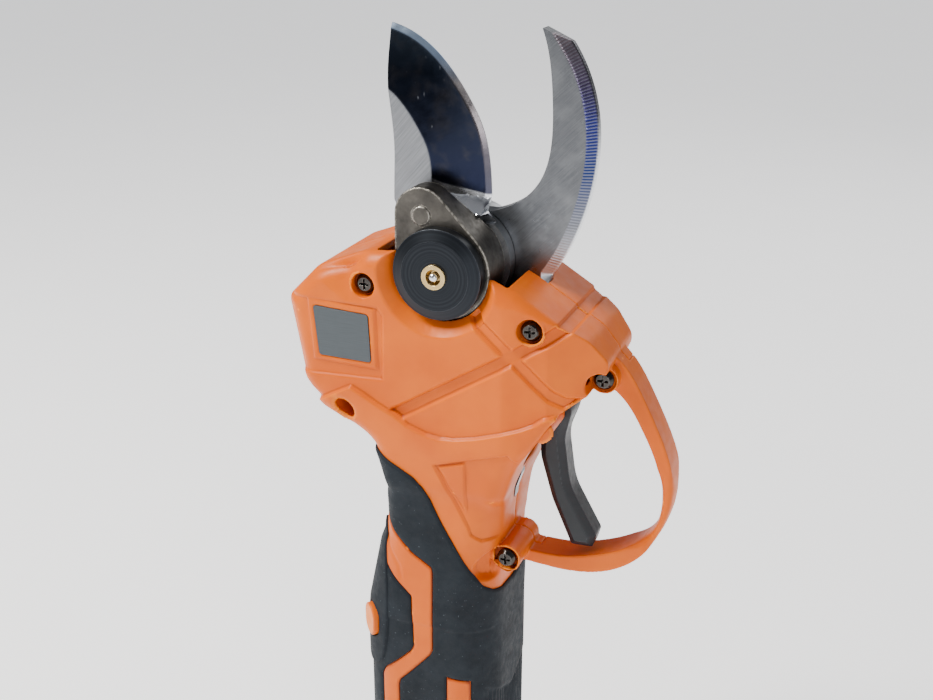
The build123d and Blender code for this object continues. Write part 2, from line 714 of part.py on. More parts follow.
def far_shell():
    shell = hollow_housing() & block(*FAR_HALF)
    for screw in SHELL_SCREWS:
        shell = shell + screw.cylinder(screw.post_r, 0, screw.end_y + 0.6)
    shell = shell + guard_stubs()
    shell = shell + y_cylinder(TRIGGER_PIVOT_X, TRIGGER_PIVOT_Z, 3.0, TRIGGER_HALF_Y + 0.5, 17.5)
    shell = shell - far_pocket() - trigger_slot() - latch_notches()
    shell = shell - (slab(guard_outline(), -1, GUARD_HALF_Y) - guard_stubs() - housing_solid(WALL))
    for screw in SHELL_SCREWS:
        shell = shell - screw.cylinder(SCREW_SHANK_R, -1, screw.end_y)
    shell = shell - y_cylinder(TRIGGER_PIVOT_X, TRIGGER_PIVOT_Z, TRIGGER_PIN_R, 0, 12)
    shell = shell - sensor_window()
    return largest_solid(shell)


def shell_screws():
    """Cross-recess pan-head screws that hold the two shells together."""
    screws = []
    for place in SHELL_SCREWS:
        head_y = place.seat_y - SCREW_HEAD_HEIGHT
        head = y_cone(place.x, place.z, SCREW_HEAD_R - 0.9, SCREW_HEAD_R, head_y, place.seat_y - 0.8)
        head = head + place.cylinder(SCREW_HEAD_R, place.seat_y - 0.8, place.seat_y)
        shank = place.cylinder(SCREW_SHANK_R, place.seat_y, place.end_y)
        cross = block(
            (place.x - 1.5, head_y - 1, place.z - 0.35),
            (place.x + 1.5, head_y + 1.1, place.z + 0.35),
        )
        cross = cross + block(
            (place.x - 0.35, head_y - 1, place.z - 1.5),
            (place.x + 0.35, head_y + 1.1, place.z + 1.5),
        )
        screws.append(head + shank - cross)
    return Compound(children=screws)


def label_plate():
    """Plain plate set into the near face of the head."""
    corners = [(-31.6, 212.3, 0.8), (-14.9, 211.4, 0.8), (-14.3, 197.6, 0.8), (-30.2, 197.9, 0.8)]
    return slab(rounded(corners), -HALF_THICK, -HALF_THICK + 0.8)


def sensor_window():
    """Clear insert in the neck behind the trigger."""
    return block((22.0, -4.5, 155.0), (24.6, -1.5, 166.0)) & housing_solid(0)


def thumb_pad():
    """Soft leaf-shaped pad around the power button."""
    pad = pad_leaf() & (waist_and_handle(PAD_OUTSET) - waist_and_handle(0.1))
    return largest_solid(pad - button_shape(0.3))


def button_shape(gap, travel=0):
    """Oval power button body, larger all round by the gap and deeper by its travel."""
    oval = SlotOverall(10.5 + 2 * gap, 7.7 + 2 * gap, rotation=90)
    bottom = BUTTON_IN - travel
    face = PAD_PLANE.offset(bottom) * Pos(0, BUTTON_Z) * oval
    return extrude(face, amount=BUTTON_OUT - bottom, dir=tuple(PAD_PLANE.z_dir))


def power_button():
    return button_shape(0)


def power_switch():
    face = PAD_PLANE.offset(SWITCH_OUT - 3.2) * Pos(0, BUTTON_Z) * Rectangle(5.0, 5.0)
    return extrude(face, amount=3.2, dir=tuple(PAD_PLANE.z_dir))


def grip_skin():
    outer = handle_prism(HANDLE_HALF, HANDLE_CORNER_R, HANDLE_BOTTOM, GRIP_TOP)
    inner = handle_prism(SHELL_HALF, SHELL_CORNER_R, HANDLE_BOTTOM - 1, GRIP_TOP + 1)
    return outer - inner - latch_notches() - pad_leaf()


def near_grip():
    return grip_skin() & block(*NEAR_HALF)


def far_grip():
    return grip_skin() & block(*FAR_HALF)


# ---- trigger ----------------------------------------------------------------------


def trigger():
    body = slab(trigger_outline(), -TRIGGER_HALF_Y, TRIGGER_HALF_Y)
    body = body - y_cylinder(TRIGGER_PIVOT_X, TRIGGER_PIVOT_Z, TRIGGER_PIN_R + 0.05, -20, 20)
    return body - trigger_magnet()


def trigger_magnet():
    return x_cylinder(0, 182.0, 1.6, 24.7, 27.2)


def trigger_pin():
    return y_cylinder(TRIGGER_PIVOT_X, TRIGGER_PIVOT_Z, TRIGGER_PIN_R, -12, 12)


def trigger_sensor():
    """Small board with the Hall sensor that reads the trigger's magnet."""
    board = block((19.6, -5.5, 171.0), (20.8, 5.5, 181.5))
    chip = block((20.8, -1.8, 177.0), (22.0, 1.8, 180.5))
    return board + chip


# ---- electronics and battery ------------------------------------------------------


def controller_board():
    """Motor controller: board, power transistors and two capacitors."""
    low_x = -15.4
    face_x = low_x + 1.6
    board = block((low_x, -13.0, 91.0), (face_x, 13.0, 98.0))
    board = board + block((low_x, -9.0, 107.0), (face_x, 9.0, 122.0))
    board = board + block((low_x, 5.0, 97.0), (face_x, 9.0, 108.0))
    for side in (-8.0, -2.5, 3.0):
        board = board + block((face_x, side, 113.5), (face_x + 1.4, side + 5.0, 120.5))
    for side in (-8.0, 8.0):
        board = board + block((face_x, side - 1, 92.0), (face_x + 2.0, side + 1, 96.0))
        board = board + x_cylinder(side, 94.5, 3.2, face_x + 1.0, face_x + 8.0)
    return board


def terminal_block():
    """Socket above the battery with openings for its three blades."""
    body = block((-12.0, -9.0, CASE_TOP + 3.4), (12.0, 9.0, CASE_TOP + 10.0))
    for index in range(3):
        x = -7.0 + 7.0 * index
        body = body - block((x - 1.0, -4.0, CASE_TOP), (x + 1.0, 4.0, CASE_TOP + 9.0))
    rim = block((-19.0, -3.0, CASE_TOP + 4.0), (19.0, 3.0, CASE_TOP + 7.0))
    for index in range(3):
        x = -7.0 + 7.0 * index
        rim = rim - block((x - 1.0, -4.0, CASE_TOP), (x + 1.0, 4.0, CASE_TOP + 9.0))
    return body + rim


def terminal_blades():
    blades = []
    for index in range(3):
        x = -7.0 + 7.0 * index
        blades.append(block((x - 0.4, -3.0, CASE_TOP - 3.5), (x + 0.4, 3.0, CASE_TOP + 9.0)))
    return Compound(children=blades)


def motor_leads():
    """Three phase wires from the controller to the motor's end."""
    leads = []
    for index in range(3):
        y = DRIVE_Y - 4.0 + 4.0 * index
        z = MOTOR_BOTTOM - 1.6
        run = x_cylinder(y, z, 0.9, -13.8, DRIVE_X - 6.5)
        rise = z_cylinder(DRIVE_X - 6.5, y, 0.9, z, MOTOR_BOTTOM)
        leads.append(run + Pos(DRIVE_X - 6.5, y, z) * Sphere(0.9) + rise)
    return Compound(children=leads)


def battery_case():
    """Sleeve around the cells that slides up into the handle."""
    case = handle_prism(CASE_HALF, CASE_CORNER_R, BASE_TOP, CASE_TOP)
    inner_half = CASE_HALF - CASE_WALL
    case = case - handle_prism(inner_half, CASE_CORNER_R - CASE_WALL, BASE_TOP - 1, CASE_TOP - 2.0)
    for index in range(3):
        x = -7.0 + 7.0 * index
        case = case - block((x - 0.9, -3.5, CASE_TOP - 3), (x + 0.9, 3.5, CASE_TOP + 1))
    return case - latch_windows()


def latch_windows():
    """Openings in the sleeve that the latch arms move into when they are pressed."""
    return block((-4.6, -20, BASE_TOP - 1), (4.6, 20, 34.6)) - block((-10, -17, 0), (10, 17, 40))


def battery_base():
    """Foot of the battery, as wide as the handle, open at the top for the cells."""
    base = handle_prism(HANDLE_HALF, HANDLE_CORNER_R, 0, BASE_TOP)
    bottom_edges = base.faces().sort_by(Axis.Z)[0].edges()
    base = fillet(bottom_edges, 2.0)
    base = base - handle_prism(CASE_HALF - CASE_WALL, CASE_CORNER_R - CASE_WALL, 3.0, BASE_TOP + 1)
    for side in (-1, 1):
        low = min(side * LATCH_IN, side * 25)
        high = max(side * LATCH_IN, side * 25)
        base = base - block((-6.4, low, 9.6), (6.4, high, BASE_TOP + 1))
    return base - x_cylinder(0, SOCKET_Z, 4.0, 10, 25)


def battery_cells():
    cells = []
    for x in (-CELL_OFFSET, CELL_OFFSET):
        for y in (-CELL_OFFSET, CELL_OFFSET):
            can = z_cylinder(x, y, CELL_R, CELL_BOTTOM, CELL_BOTTOM + CELL_LENGTH - 1.2)
            cell_top = CELL_BOTTOM + CELL_LENGTH
            cells.append(can + z_cylinder(x, y, 3.0, cell_top - 1.2, cell_top))
    return Compound(children=cells)


def battery_board():
    """Protection board on top of the cells."""
    bottom = CELL_BOTTOM + CELL_LENGTH + 0.2
    return block((-15.0, -12.0, bottom), (15.0, 12.0, bottom + 1.4))


def battery_contacts():
    """Spring clips behind the slots in the top of the battery."""
    clips = []
    low = CELL_BOTTOM + CELL_LENGTH + 1.6
    for index in range(3):
        x = -7.0 + 7.0 * index
        left = block((x - 1.4, -3.5, low), (x - 0.8, 3.5, CASE_TOP - 2.2))
        right = block((x + 0.8, -3.5, low), (x + 1.4, 3.5, CASE_TOP - 2.2))
        clips.append(left + right + block((x - 1.4, -3.5, low), (x + 1.4, 3.5, low + 0.6)))
    return Compound(children=clips)


def charge_socket():
    """Round charging socket in the side of the base."""
    body = x_cylinder(0, SOCKET_Z, 4.0, CASE_HALF - CASE_WALL + 0.1, HANDLE_HALF - 0.5)
    body = body - x_cylinder(0, SOCKET_Z, 2.75, CASE_HALF - CASE_WALL + 0.8, 25)
    return body + x_cylinder(0, SOCKET_Z, 0.8, CASE_HALF - CASE_WALL + 0.5, HANDLE_HALF - 1.0)


def battery_latch(side):
    """Push button with the hook that reaches up into the handle's rim."""
    pad = block((-6.0, LATCH_IN + 1.1, 10.0), (6.0, HANDLE_HALF + 0.6, 21.0))
    arm = block((-4.0, LATCH_IN + 1.1, 20.0), (4.0, LATCH_IN + 2.1, 34.0))
    hook = block((-4.0, LATCH_IN + 1.1, 31.5), (4.0, HANDLE_HALF - 0.1, 34.0))
    latch = pad + arm + hook
    if side < 0:
        latch = mirror(latch, about=Plane.XZ)
    return latch


NODES = {
    "near_shell": near_shell,
    "far_shell": far_shell,
    "near_grip": near_grip,
    "far_grip": far_grip,
    "thumb_pad": thumb_pad,
    "label_plate": label_plate,
    "sensor_window": sensor_window,
    "shell_screws": shell_screws,
    "fixed_blade": fixed_blade,
    "head_frame": head_frame,
    "frame_screws": frame_screws,
    "pivot_bolt": pivot_bolt,
    "pivot_disc": pivot_disc,
    "grease_fitting": grease_fitting,
    "grease_ball": grease_ball,
    "gearbox_case": gearbox_case,
    "gearbox_cover": gearbox_cover,
    "gearbox_screws": gearbox_screws,
    "output_bearing": output_bearing,
    "motor_can": motor_can,
    "motor_end_cap": motor_end_cap,
    "motor_bearings": motor_bearings,
    "stator": stator,
    "controller_board": controller_board,
    "motor_leads": motor_leads,
    "terminal_block": terminal_block,
    "terminal_blades": terminal_blades,
    "power_switch": power_switch,
    "trigger_sensor": trigger_sensor,
    "trigger_pin": trigger_pin,
    "moving_blade": moving_blade,
    "sector_gear": sector_gear,
    "pivot_bush": pivot_bush,
    "drive_pin": drive_pin,
    "output_carrier": output_carrier,
    "bevel_pinion": bevel_pinion,
    "first_carrier": first_carrier,
    "second_sun": second_sun,
    "motor_shaft": motor_shaft,
    "rotor_magnet": rotor_magnet,
    "first_sun": first_sun,
    "trigger": trigger,
    "trigger_magnet": trigger_magnet,
    "power_button": power_button,
    "battery_case": battery_case,
    "battery_base": battery_base,
    "battery_cells": battery_cells,
    "battery_board": battery_board,
    "battery_contacts": battery_contacts,
    "charge_socket": charge_socket,
    "near_latch": lambda: battery_latch(-1),
    "far_latch": lambda: battery_latch(1),
}
for stage, stage_z in (("first", STAGE_1_Z), ("second", STAGE_2_Z)):
    for index in range(3):
        NODES[f"{stage}_planet_{index + 1}"] = lambda z=stage_z, i=index: planet_gear(z, i)

os.makedirs("parts", exist_ok=True)
for name, make in NODES.items():
    export_step(make(), f"parts/{name}.step")
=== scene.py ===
"""Looks of a battery electric pruner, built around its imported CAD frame.

Lengths and places are millimetres in the frame's axes: X towards the trigger, Z up, and
Y negative on the near side, which faces the camera. MM turns them into metres where
Blender takes them. Handle angles are degrees around the handle: 0 at the trigger,
90 on the flank and 180 at the back, on the far side as on the near side.
"""

import json
from math import cos, pi, radians, sin

import bpy
import numpy as np
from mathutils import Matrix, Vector
from mathutils.bvhtree import BVHTree


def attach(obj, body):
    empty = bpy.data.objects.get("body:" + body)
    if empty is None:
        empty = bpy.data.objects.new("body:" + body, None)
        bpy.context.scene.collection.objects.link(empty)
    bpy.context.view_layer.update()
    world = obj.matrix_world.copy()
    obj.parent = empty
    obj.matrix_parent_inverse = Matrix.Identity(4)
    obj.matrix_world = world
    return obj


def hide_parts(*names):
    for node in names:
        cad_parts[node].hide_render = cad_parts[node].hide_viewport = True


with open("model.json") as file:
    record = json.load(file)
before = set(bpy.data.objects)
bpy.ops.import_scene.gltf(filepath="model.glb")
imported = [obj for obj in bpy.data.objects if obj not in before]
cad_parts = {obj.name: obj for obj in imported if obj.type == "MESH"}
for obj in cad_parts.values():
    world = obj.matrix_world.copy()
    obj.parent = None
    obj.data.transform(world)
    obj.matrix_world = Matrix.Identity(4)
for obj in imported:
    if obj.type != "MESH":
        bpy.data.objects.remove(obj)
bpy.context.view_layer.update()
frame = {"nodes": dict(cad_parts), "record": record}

MM = 0.001
NODES = frame["nodes"]
NEAR = -1  # the sign of Y on each side
FAR = 1
HOUSING_VOXEL = 0.34
SMALL_VOXEL = 0.3
PIVOT = (5.2, 225.0)  # X and Z


# ---- materials --------------------------------------------------------------------


class Shader:
    """A Principled material with shorthands for the nodes that vary it."""

    MIX_A, MIX_B, MIX_RESULT = 6, 7, 2  # sockets of a Mix node that mixes colours

    def __init__(self, name, colour, roughness, metallic=0.0):
        self.material = bpy.data.materials.new(name)
        self.material.use_nodes = True
        self.tree = self.material.node_tree
        self.surface = self.tree.nodes["Principled BSDF"]
        self.set("Base Color", (*colour, 1.0))
        self.set("Roughness", roughness)
        self.set("Metallic", metallic)
        self.place = self.tree.nodes.new("ShaderNodeTexCoord").outputs["Object"]

    def set(self, socket, value):
        self.surface.inputs[socket].default_value = value

    def link(self, output, socket):
        self.tree.links.new(output, socket)

    def feed(self, socket, value):
        """Links another node's output to a socket, or sets a plain value on it."""
        if isinstance(value, bpy.types.NodeSocket):
            self.link(value, socket)
        else:
            socket.default_value = value

    def node(self, kind, **inputs):
        """A new node with its sockets, named by keyword, fed."""
        made = self.tree.nodes.new(kind)
        for key, value in inputs.items():
            self.feed(made.inputs[key], value)
        return made

    def noise(self, size, detail=2.0, stretch=(1, 1, 1), turn=(0, 0, 0)):
        """Noise whose features are about size millimetres, longer where stretch is small."""
        mapping = self.tree.nodes.new("ShaderNodeMapping")
        mapping.vector_type = "TEXTURE"
        mapping.inputs["Rotation"].default_value = turn
        mapping.inputs["Scale"].default_value = tuple(1.0 / v for v in stretch)
        self.link(self.place, mapping.inputs["Vector"])
        made = self.node(
            "ShaderNodeTexNoise",
            Vector=mapping.outputs[0],
            Scale=1.0 / (size * MM),
            Detail=detail,
        )
        return made.outputs["Fac"]

    def attribute(self, name):
        """A number that paint() stored on the vertices."""
        made = self.tree.nodes.new("ShaderNodeAttribute")
        made.attribute_name = name
        return made.outputs["Fac"]

    def remap(self, value, low, high, start=0.0, end=1.0):
        """A value stretched from low..high to start..end, and held at the ends."""
        made = self.node("ShaderNodeMapRange", Value=value)
        for index, number in enumerate((low, high, start, end)):
            made.inputs[index + 1].default_value = number
        return made.outputs[0]

    def math(self, operation, *values, kind="ShaderNodeMath"):
        made = self.tree.nodes.new(kind)
        made.operation = operation
        for socket, value in zip(made.inputs, values):
            self.feed(socket, value)
        return made.outputs["Value" if operation in ("DOT_PRODUCT", "LENGTH") else 0]

    def vector_math(self, operation, *values):
        return self.math(operation, *values, kind="ShaderNodeVectorMath")

    def ramp(self, value, *stops):
        """Colours along a value: (position, (r, g, b)) each."""
        made = self.node("ShaderNodeValToRGB", Fac=value)
        elements = made.color_ramp.elements
        while len(elements) < len(stops):
            elements.new(0.5)
        for element, (position, colour) in zip(elements, stops):
            element.position = position
            element.color = (*colour, 1.0)
        return made.outputs["Color"]

    def mix(self, factor, a, b):
        """Colour a where factor is 0 and b where it is 1."""
        made = self.tree.nodes.new("ShaderNodeMix")
        made.data_type = "RGBA"
        self.link(factor, made.inputs[0])
        for index, value in ((self.MIX_A, a), (self.MIX_B, b)):
            self.feed(made.inputs[index], (*value, 1.0) if isinstance(value, tuple) else value)
        return made.outputs[self.MIX_RESULT]

    def colour(self, output):
        self.link(output, self.surface.inputs["Base Color"])

    def rough(self, value, low, high):
        """Roughness from low to high as a noise rises."""
        self.link(self.remap(value, 0.3, 0.7, low, high), self.surface.inputs["Roughness"])

    def bump(self, height, distance, strength=1.0, rounding=0.0):
        """Fine relief, and softly rounded edges where rounding is given, in millimetres."""
        made = self.node(
            "ShaderNodeBump", Height=height, Strength=strength, Distance=distance * MM
        )
        if rounding > 0:
            self.link(self.soft_normal(rounding), made.inputs["Normal"])
        self.link(made.outputs[0], self.surface.inputs["Normal"])

    def soft_normal(self, radius):
        """The surface's normal as if its edges were rounded."""
        made = self.node("ShaderNodeBevel", Radius=radius * MM)
        made.samples = 4
        return made.outputs[0]

    def edge_wear(self, radius):
        """1 along edges and 0 on flats, from how far a rounded normal leaves the true one."""
        geometry = self.tree.nodes.new("ShaderNodeNewGeometry")
        normal = geometry.outputs["Normal"]
        return self.remap(
            self.vector_math("DOT_PRODUCT", self.soft_normal(radius), normal), 0.99, 0.86
        )

    def pointiness(self, low, high):
        """Cavities are below 0.5 and ridges above it."""
        geometry = self.tree.nodes.new("ShaderNodeNewGeometry")
        return self.remap(geometry.outputs["Pointiness"], low, high)


ORANGE = (0.74, 0.135, 0.0)
ORANGE_DEEP = (0.66, 0.108, 0.0)
ORANGE_PALE = (0.90, 0.22, 0.006)
# Painted shade: the deep brown orange that cavities and grooves are darkened towards.
ORANGE_PAINTED_CAVITY_SHADE = (0.30, 0.035, 0.0)
RUBBER = (0.008, 0.011, 0.015)
RUBBER_PALE = (0.015, 0.020, 0.026)
GRINDING = (1.0, 1.0, 0.04)  # stretches noise into long grinding lines
COMB_PITCH = 0.85  # from one grinding line to the next across the hook's bevel
RINGS_PER_METRE = 1900.0


def orange_plastic():
    shader = Shader("orange_plastic", ORANGE, 0.42)
    cloud = shader.noise(14.0, 3.0)
    body = shader.mix(shader.remap(cloud, 0.35, 0.65), ORANGE, ORANGE_DEEP)
    body = shader.mix(shader.pointiness(0.53, 0.60), body, ORANGE_PALE)
    # Painted shade: cavities and grooves, found by pointiness, are darkened towards a deep brown
    # orange.
    shader.colour(shader.mix(shader.pointiness(0.485, 0.43), body, ORANGE_PAINTED_CAVITY_SHADE))
    shader.rough(shader.noise(3.0, 4.0), 0.34, 0.48)
    shader.bump(shader.noise(0.45, 2.0), 0.035, 0.55)
    shader.set("Subsurface Weight", 0.06)
    shader.set("Subsurface Radius", (0.004, 0.0015, 0.0005))
    shader.set("Specular IOR Level", 0.22)
    return shader.material


def grip_rubber():
    shader = Shader("grip_rubber", RUBBER, 0.68)
    cloud = shader.noise(9.0, 4.0)
    body = shader.mix(shader.remap(cloud, 0.3, 0.7), RUBBER, RUBBER_PALE)
    speck = shader.remap(shader.noise(0.8, 1.0), 0.72, 0.78)
    shader.colour(shader.mix(speck, body, (0.045, 0.055, 0.065)))
    shader.rough(shader.noise(2.0, 3.0), 0.58, 0.74)
    shader.bump(shader.noise(0.38, 2.0), 0.06, 0.8)
    shader.set("Specular IOR Level", 0.16)
    return shader.material


def black_plastic():
    shader = Shader("black_plastic", (0.012, 0.014, 0.017), 0.4)
    cloud = shader.noise(6.0, 3.0)
    body = shader.mix(cloud, (0.010, 0.012, 0.015), (0.020, 0.023, 0.027))
    shader.colour(shader.mix(shader.edge_wear(0.5), body, (0.07, 0.08, 0.09)))
    shader.rough(shader.noise(1.5, 3.0), 0.32, 0.5)
    shader.bump(shader.noise(0.4, 2.0), 0.03, 0.6, rounding=0.4)
    shader.set("Specular IOR Level", 0.3)
    return shader.material


def blade_steel():
    """Dark ground face and bright honed strip, both painted reflection that changes with height;
    polished ramp and brushed flat and back.
    """
    shader = Shader("blade_steel", (0.05, 0.06, 0.09), 0.16, 1.0)
    height = shader.attribute("height")
    # Painted reflection: the ground face is dark navy, lighter towards the top.
    ground = shader.ramp(
        height,
        (0.0, (0.018, 0.022, 0.050)),
        (0.45, (0.030, 0.036, 0.062)),
        (0.75, (0.016, 0.021, 0.034)),
        (1.0, (0.055, 0.072, 0.10)),
    )
    stain = shader.remap(shader.noise(5.0, 5.0), 0.5, 0.95)
    ground = shader.mix(stain, ground, (0.070, 0.066, 0.070))
    # Painted reflection: the honed strip runs from dark at the bottom through brown to bluish white
    # at the top.
    strip = shader.ramp(
        height,
        (0.0, (0.06, 0.065, 0.10)),
        (0.45, (0.17, 0.15, 0.16)),
        (0.7, (0.36, 0.33, 0.33)),
        (0.85, (0.50, 0.64, 0.86)),
        (1.0, (0.62, 0.78, 1.0)),
    )
    lines = shader.noise(0.3, 3.0, stretch=GRINDING, turn=(0, radians(42), 0))
    brushed = shader.mix(lines, (0.17, 0.178, 0.19), (0.38, 0.39, 0.41))
    flat = shader.attribute("brushed")
    colour = shader.mix(shader.attribute("strip"), ground, strip)
    colour = shader.mix(flat, colour, brushed)
    colour = shader.mix(shader.attribute("ramp"), colour, (0.80, 0.82, 0.86))
    scratch = shader.remap(shader.noise(0.6, 2.0, stretch=(1, 1, 0.12)), 0.74, 0.78)
    shader.colour(shader.mix(scratch, colour, (0.42, 0.44, 0.48)))
    mottled = shader.remap(shader.noise(3.0, 5.0), 0.3, 0.7, 0.14, 0.26)
    shader.link(
        shader.math("ADD", mottled, shader.math("MULTIPLY", flat, 0.18)),
        shader.surface.inputs["Roughness"],
    )
    shader.bump(shader.math("MULTIPLY", lines, flat), 0.02, 0.6)
    return shader.material


def hook_steel():
    """Brushed flat with a ground outer bevel whose grinding lines run across it; the bevel's colour
    is painted reflection that changes with height, with a painted highlight along its rim.
    """
    shader = Shader("hook_steel", (0.4, 0.41, 0.43), 0.34, 1.0)
    height = shader.attribute("height")
    lines = shader.noise(0.3, 4.0, stretch=GRINDING, turn=(0, radians(46), 0))
    cloud = shader.noise(8.0, 3.0)
    flat = shader.mix(lines, (0.085, 0.09, 0.098), (0.20, 0.207, 0.22))
    flat = shader.mix(shader.remap(cloud, 0.45, 0.95), flat, (0.26, 0.27, 0.28))
    # Painted reflection: the bevel is pale at the bottom, dark blue in the middle and brownish at
    # the top.
    bevel = shader.ramp(
        height,
        (0.0, (0.55, 0.56, 0.58)),
        (0.22, (0.16, 0.17, 0.19)),
        (0.45, (0.020, 0.035, 0.13)),
        (0.66, (0.030, 0.035, 0.22)),
        (0.80, (0.11, 0.08, 0.16)),
        (1.0, (0.30, 0.24, 0.25)),
    )
    turns = shader.math("MULTIPLY", shader.attribute("along"), 2 * pi / COMB_PITCH)
    comb = shader.remap(shader.math("SINE", turns), -0.4, 0.6)
    bevel = shader.mix(shader.math("MULTIPLY", comb, 0.35), bevel, (0.40, 0.41, 0.48))
    strip = shader.attribute("strip")
    colour = shader.mix(strip, flat, bevel)
    # Painted highlight: a bright line along the bevel's outer rim, dark towards the top.
    rim = shader.ramp(
        height,
        (0.0, (0.74, 0.76, 0.79)),
        (0.5, (0.74, 0.76, 0.79)),
        (0.68, (0.06, 0.06, 0.07)),
    )
    shader.colour(shader.mix(shader.attribute("rim"), colour, rim))
    shader.rough(shader.noise(2.5, 4.0), 0.26, 0.40)
    teeth = shader.math("MULTIPLY", shader.math("MULTIPLY", comb, strip), 1.2)
    shader.bump(shader.math("ADD", lines, teeth), 0.03, 0.7)
    return shader.material


def cast_metal():
    """Dark rough casting, worn bright in patches along its edges."""
    shader = Shader("cast_metal", (0.16, 0.15, 0.135), 0.46, 1.0)
    cloud = shader.remap(shader.noise(5.0, 5.0), 0.3, 0.7)
    body = shader.mix(cloud, (0.062, 0.058, 0.053), (0.14, 0.13, 0.115))
    patches = shader.remap(shader.noise(0.9, 4.0), 0.35, 0.6)
    worn = shader.math("MULTIPLY", shader.edge_wear(0.9), patches)
    shader.colour(shader.mix(worn, body, (0.72, 0.68, 0.60)))
    shader.rough(shader.noise(1.2, 4.0), 0.36, 0.56)
    shader.bump(shader.noise(0.6, 4.0), 0.05, 0.7, rounding=0.7)
    return shader.material


def turned_black():
    """Blackened steel with faint rings around the pivot."""
    shader = Shader("turned_black", (0.02, 0.024, 0.03), 0.36, 0.75)
    centre = (PIVOT[0] * MM, 0.0, PIVOT[1] * MM)
    offset = shader.vector_math("SUBTRACT", shader.place, centre)
    radius = shader.vector_math("LENGTH", shader.vector_math("MULTIPLY", offset, (1, 0, 1)))
    rings = shader.node("ShaderNodeTexNoise", Scale=1.0, Detail=4.0)
    rings.noise_dimensions = "1D"
    shader.link(shader.math("MULTIPLY", radius, RINGS_PER_METRE), rings.inputs["W"])
    fine = rings.outputs["Fac"]
    body = shader.mix(shader.remap(fine, 0.35, 0.7), (0.010, 0.012, 0.016), (0.018, 0.022, 0.028))
    shader.colour(shader.mix(shader.edge_wear(0.35), body, (0.12, 0.13, 0.15)))
    shader.rough(fine, 0.34, 0.42)
    shader.bump(fine, 0.008, 0.35, rounding=0.3)
    return shader.material


def machined(name, colour, pale, roughness, metallic=1.0, size=0.8, wear=True):
    """General machined or moulded finish with mottling, fine relief and soft edges."""
    shader = Shader(name, colour, roughness, metallic)
    body = shader.mix(shader.remap(shader.noise(size * 5, 4.0), 0.3, 0.7), colour, pale)
    if wear:
        worn = tuple(min(1.0, 1.5 * c + 0.05) for c in pale)
        body = shader.mix(shader.edge_wear(0.3), body, worn)
    shader.colour(body)
    shader.rough(shader.noise(size * 2, 4.0), roughness * 0.8, roughness * 1.25)
    shader.bump(shader.noise(size * 0.5, 3.0), 0.02, 0.5, rounding=0.2)
    return shader.material


def label_finish():
    shader = Shader("label_finish", (0.12, 0.145, 0.16), 0.42)
    lines = shader.noise(0.3, 2.0, stretch=(0.05, 1, 1))
    shader.colour(shader.mix(lines, (0.035, 0.045, 0.052), (0.060, 0.074, 0.084)))
    shader.rough(shader.noise(1.5, 3.0), 0.36, 0.48)
    shader.bump(lines, 0.012, 0.5, rounding=0.2)
    return shader.material


def laminated():
    shader = Shader("laminated", (0.25, 0.25, 0.27), 0.4, 0.9)
    sheets = shader.noise(0.35, 1.0, stretch=(0.02, 0.02, 1))
    shader.colour(shader.mix(sheets, (0.12, 0.12, 0.13), (0.38, 0.38, 0.40)))
    shader.rough(shader.noise(1.0, 2.0), 0.35, 0.5)
    shader.bump(sheets, 0.05, 0.8)
    return shader.material


# ---- mesh tools -------------------------------------------------------------------


def add_object(name, mesh):
    made = bpy.data.objects.new(name, mesh)
    bpy.context.scene.collection.objects.link(made)
    return made


def mesh_from(name, points, faces, crease=35.0):
    """A smooth mesh from millimetre points, sharp where faces meet above crease degrees."""
    mesh = bpy.data.meshes.new(name)
    mesh.from_pydata((np.asarray(points) * MM).tolist(), [], faces)
    mesh.validate()
    mesh.shade_smooth()
    mesh.set_sharp_from_angle(angle=radians(crease))
    return mesh


def vertex_rows(mesh, kind):
    rows = np.zeros(len(mesh.vertices) * 3)
    mesh.vertices.foreach_get(kind, rows)
    return rows.reshape(-1, 3)


def points_of(mesh):
    return vertex_rows(mesh, "co") / MM


def normals_of(mesh):
    return vertex_rows(mesh, "normal")


def set_points(mesh, points):
    mesh.vertices.foreach_set("co", (points * MM).ravel())
    mesh.update()


def paint(piece, name, values):
    """Stores one number per vertex for a material to read."""
    layer = piece.data.attributes.new(name, "FLOAT", "POINT")
    layer.data.foreach_set("value", np.asarray(values, np.float32))


def remeshed(name, node, voxel, smoothing):
    """A fine, even copy of a CAD node with softened edges."""
    piece = add_object(name, NODES[node].data.copy())
    remesh = piece.modifiers.new("remesh", "REMESH")
    remesh.mode = "VOXEL"
    remesh.voxel_size = voxel * MM
    smooth = piece.modifiers.new("smooth", "SMOOTH")
    smooth.factor = 0.5
    smooth.iterations = smoothing
    evaluated = piece.evaluated_get(bpy.context.evaluated_depsgraph_get())
    piece.data = bpy.data.meshes.new_from_object(evaluated)
    piece.modifiers.clear()
    piece.data.materials.clear()
    piece.data.shade_smooth()
    return piece


def smoothstep(value, low, high):
    """Rises smoothly from 0 at low to 1 at high; low may be the larger one."""
    share = np.clip((value - low) / (high - low), 0.0, 1.0)
    return share * share * (3 - 2 * share)


SAME_PLACE = 1e-9
ON_FACE = 0.02  # how far a corner may be from a flat face and still be on it


def path_distance(points, path, closed=False):
    """Distance from each point to a path, and how far along the path the nearest place is."""
    path = np.asarray(path, float)
    if closed:
        path = np.vstack([path, path[:1]])
    best = np.full(len(points), np.inf)
    along = np.zeros(len(points))
    start = 0.0
    for a, b in zip(path[:-1], path[1:]):
        step = b - a
        length = np.linalg.norm(step)
        if length < SAME_PLACE:
            continue
        share = np.clip((points - a) @ step / length**2, 0, 1)
        gap = np.linalg.norm(points - a - share[:, None] * step, axis=1)
        nearer = gap < best
        best[nearer] = gap[nearer]
        along[nearer] = start + share[nearer] * length
        start += length
    return best, along


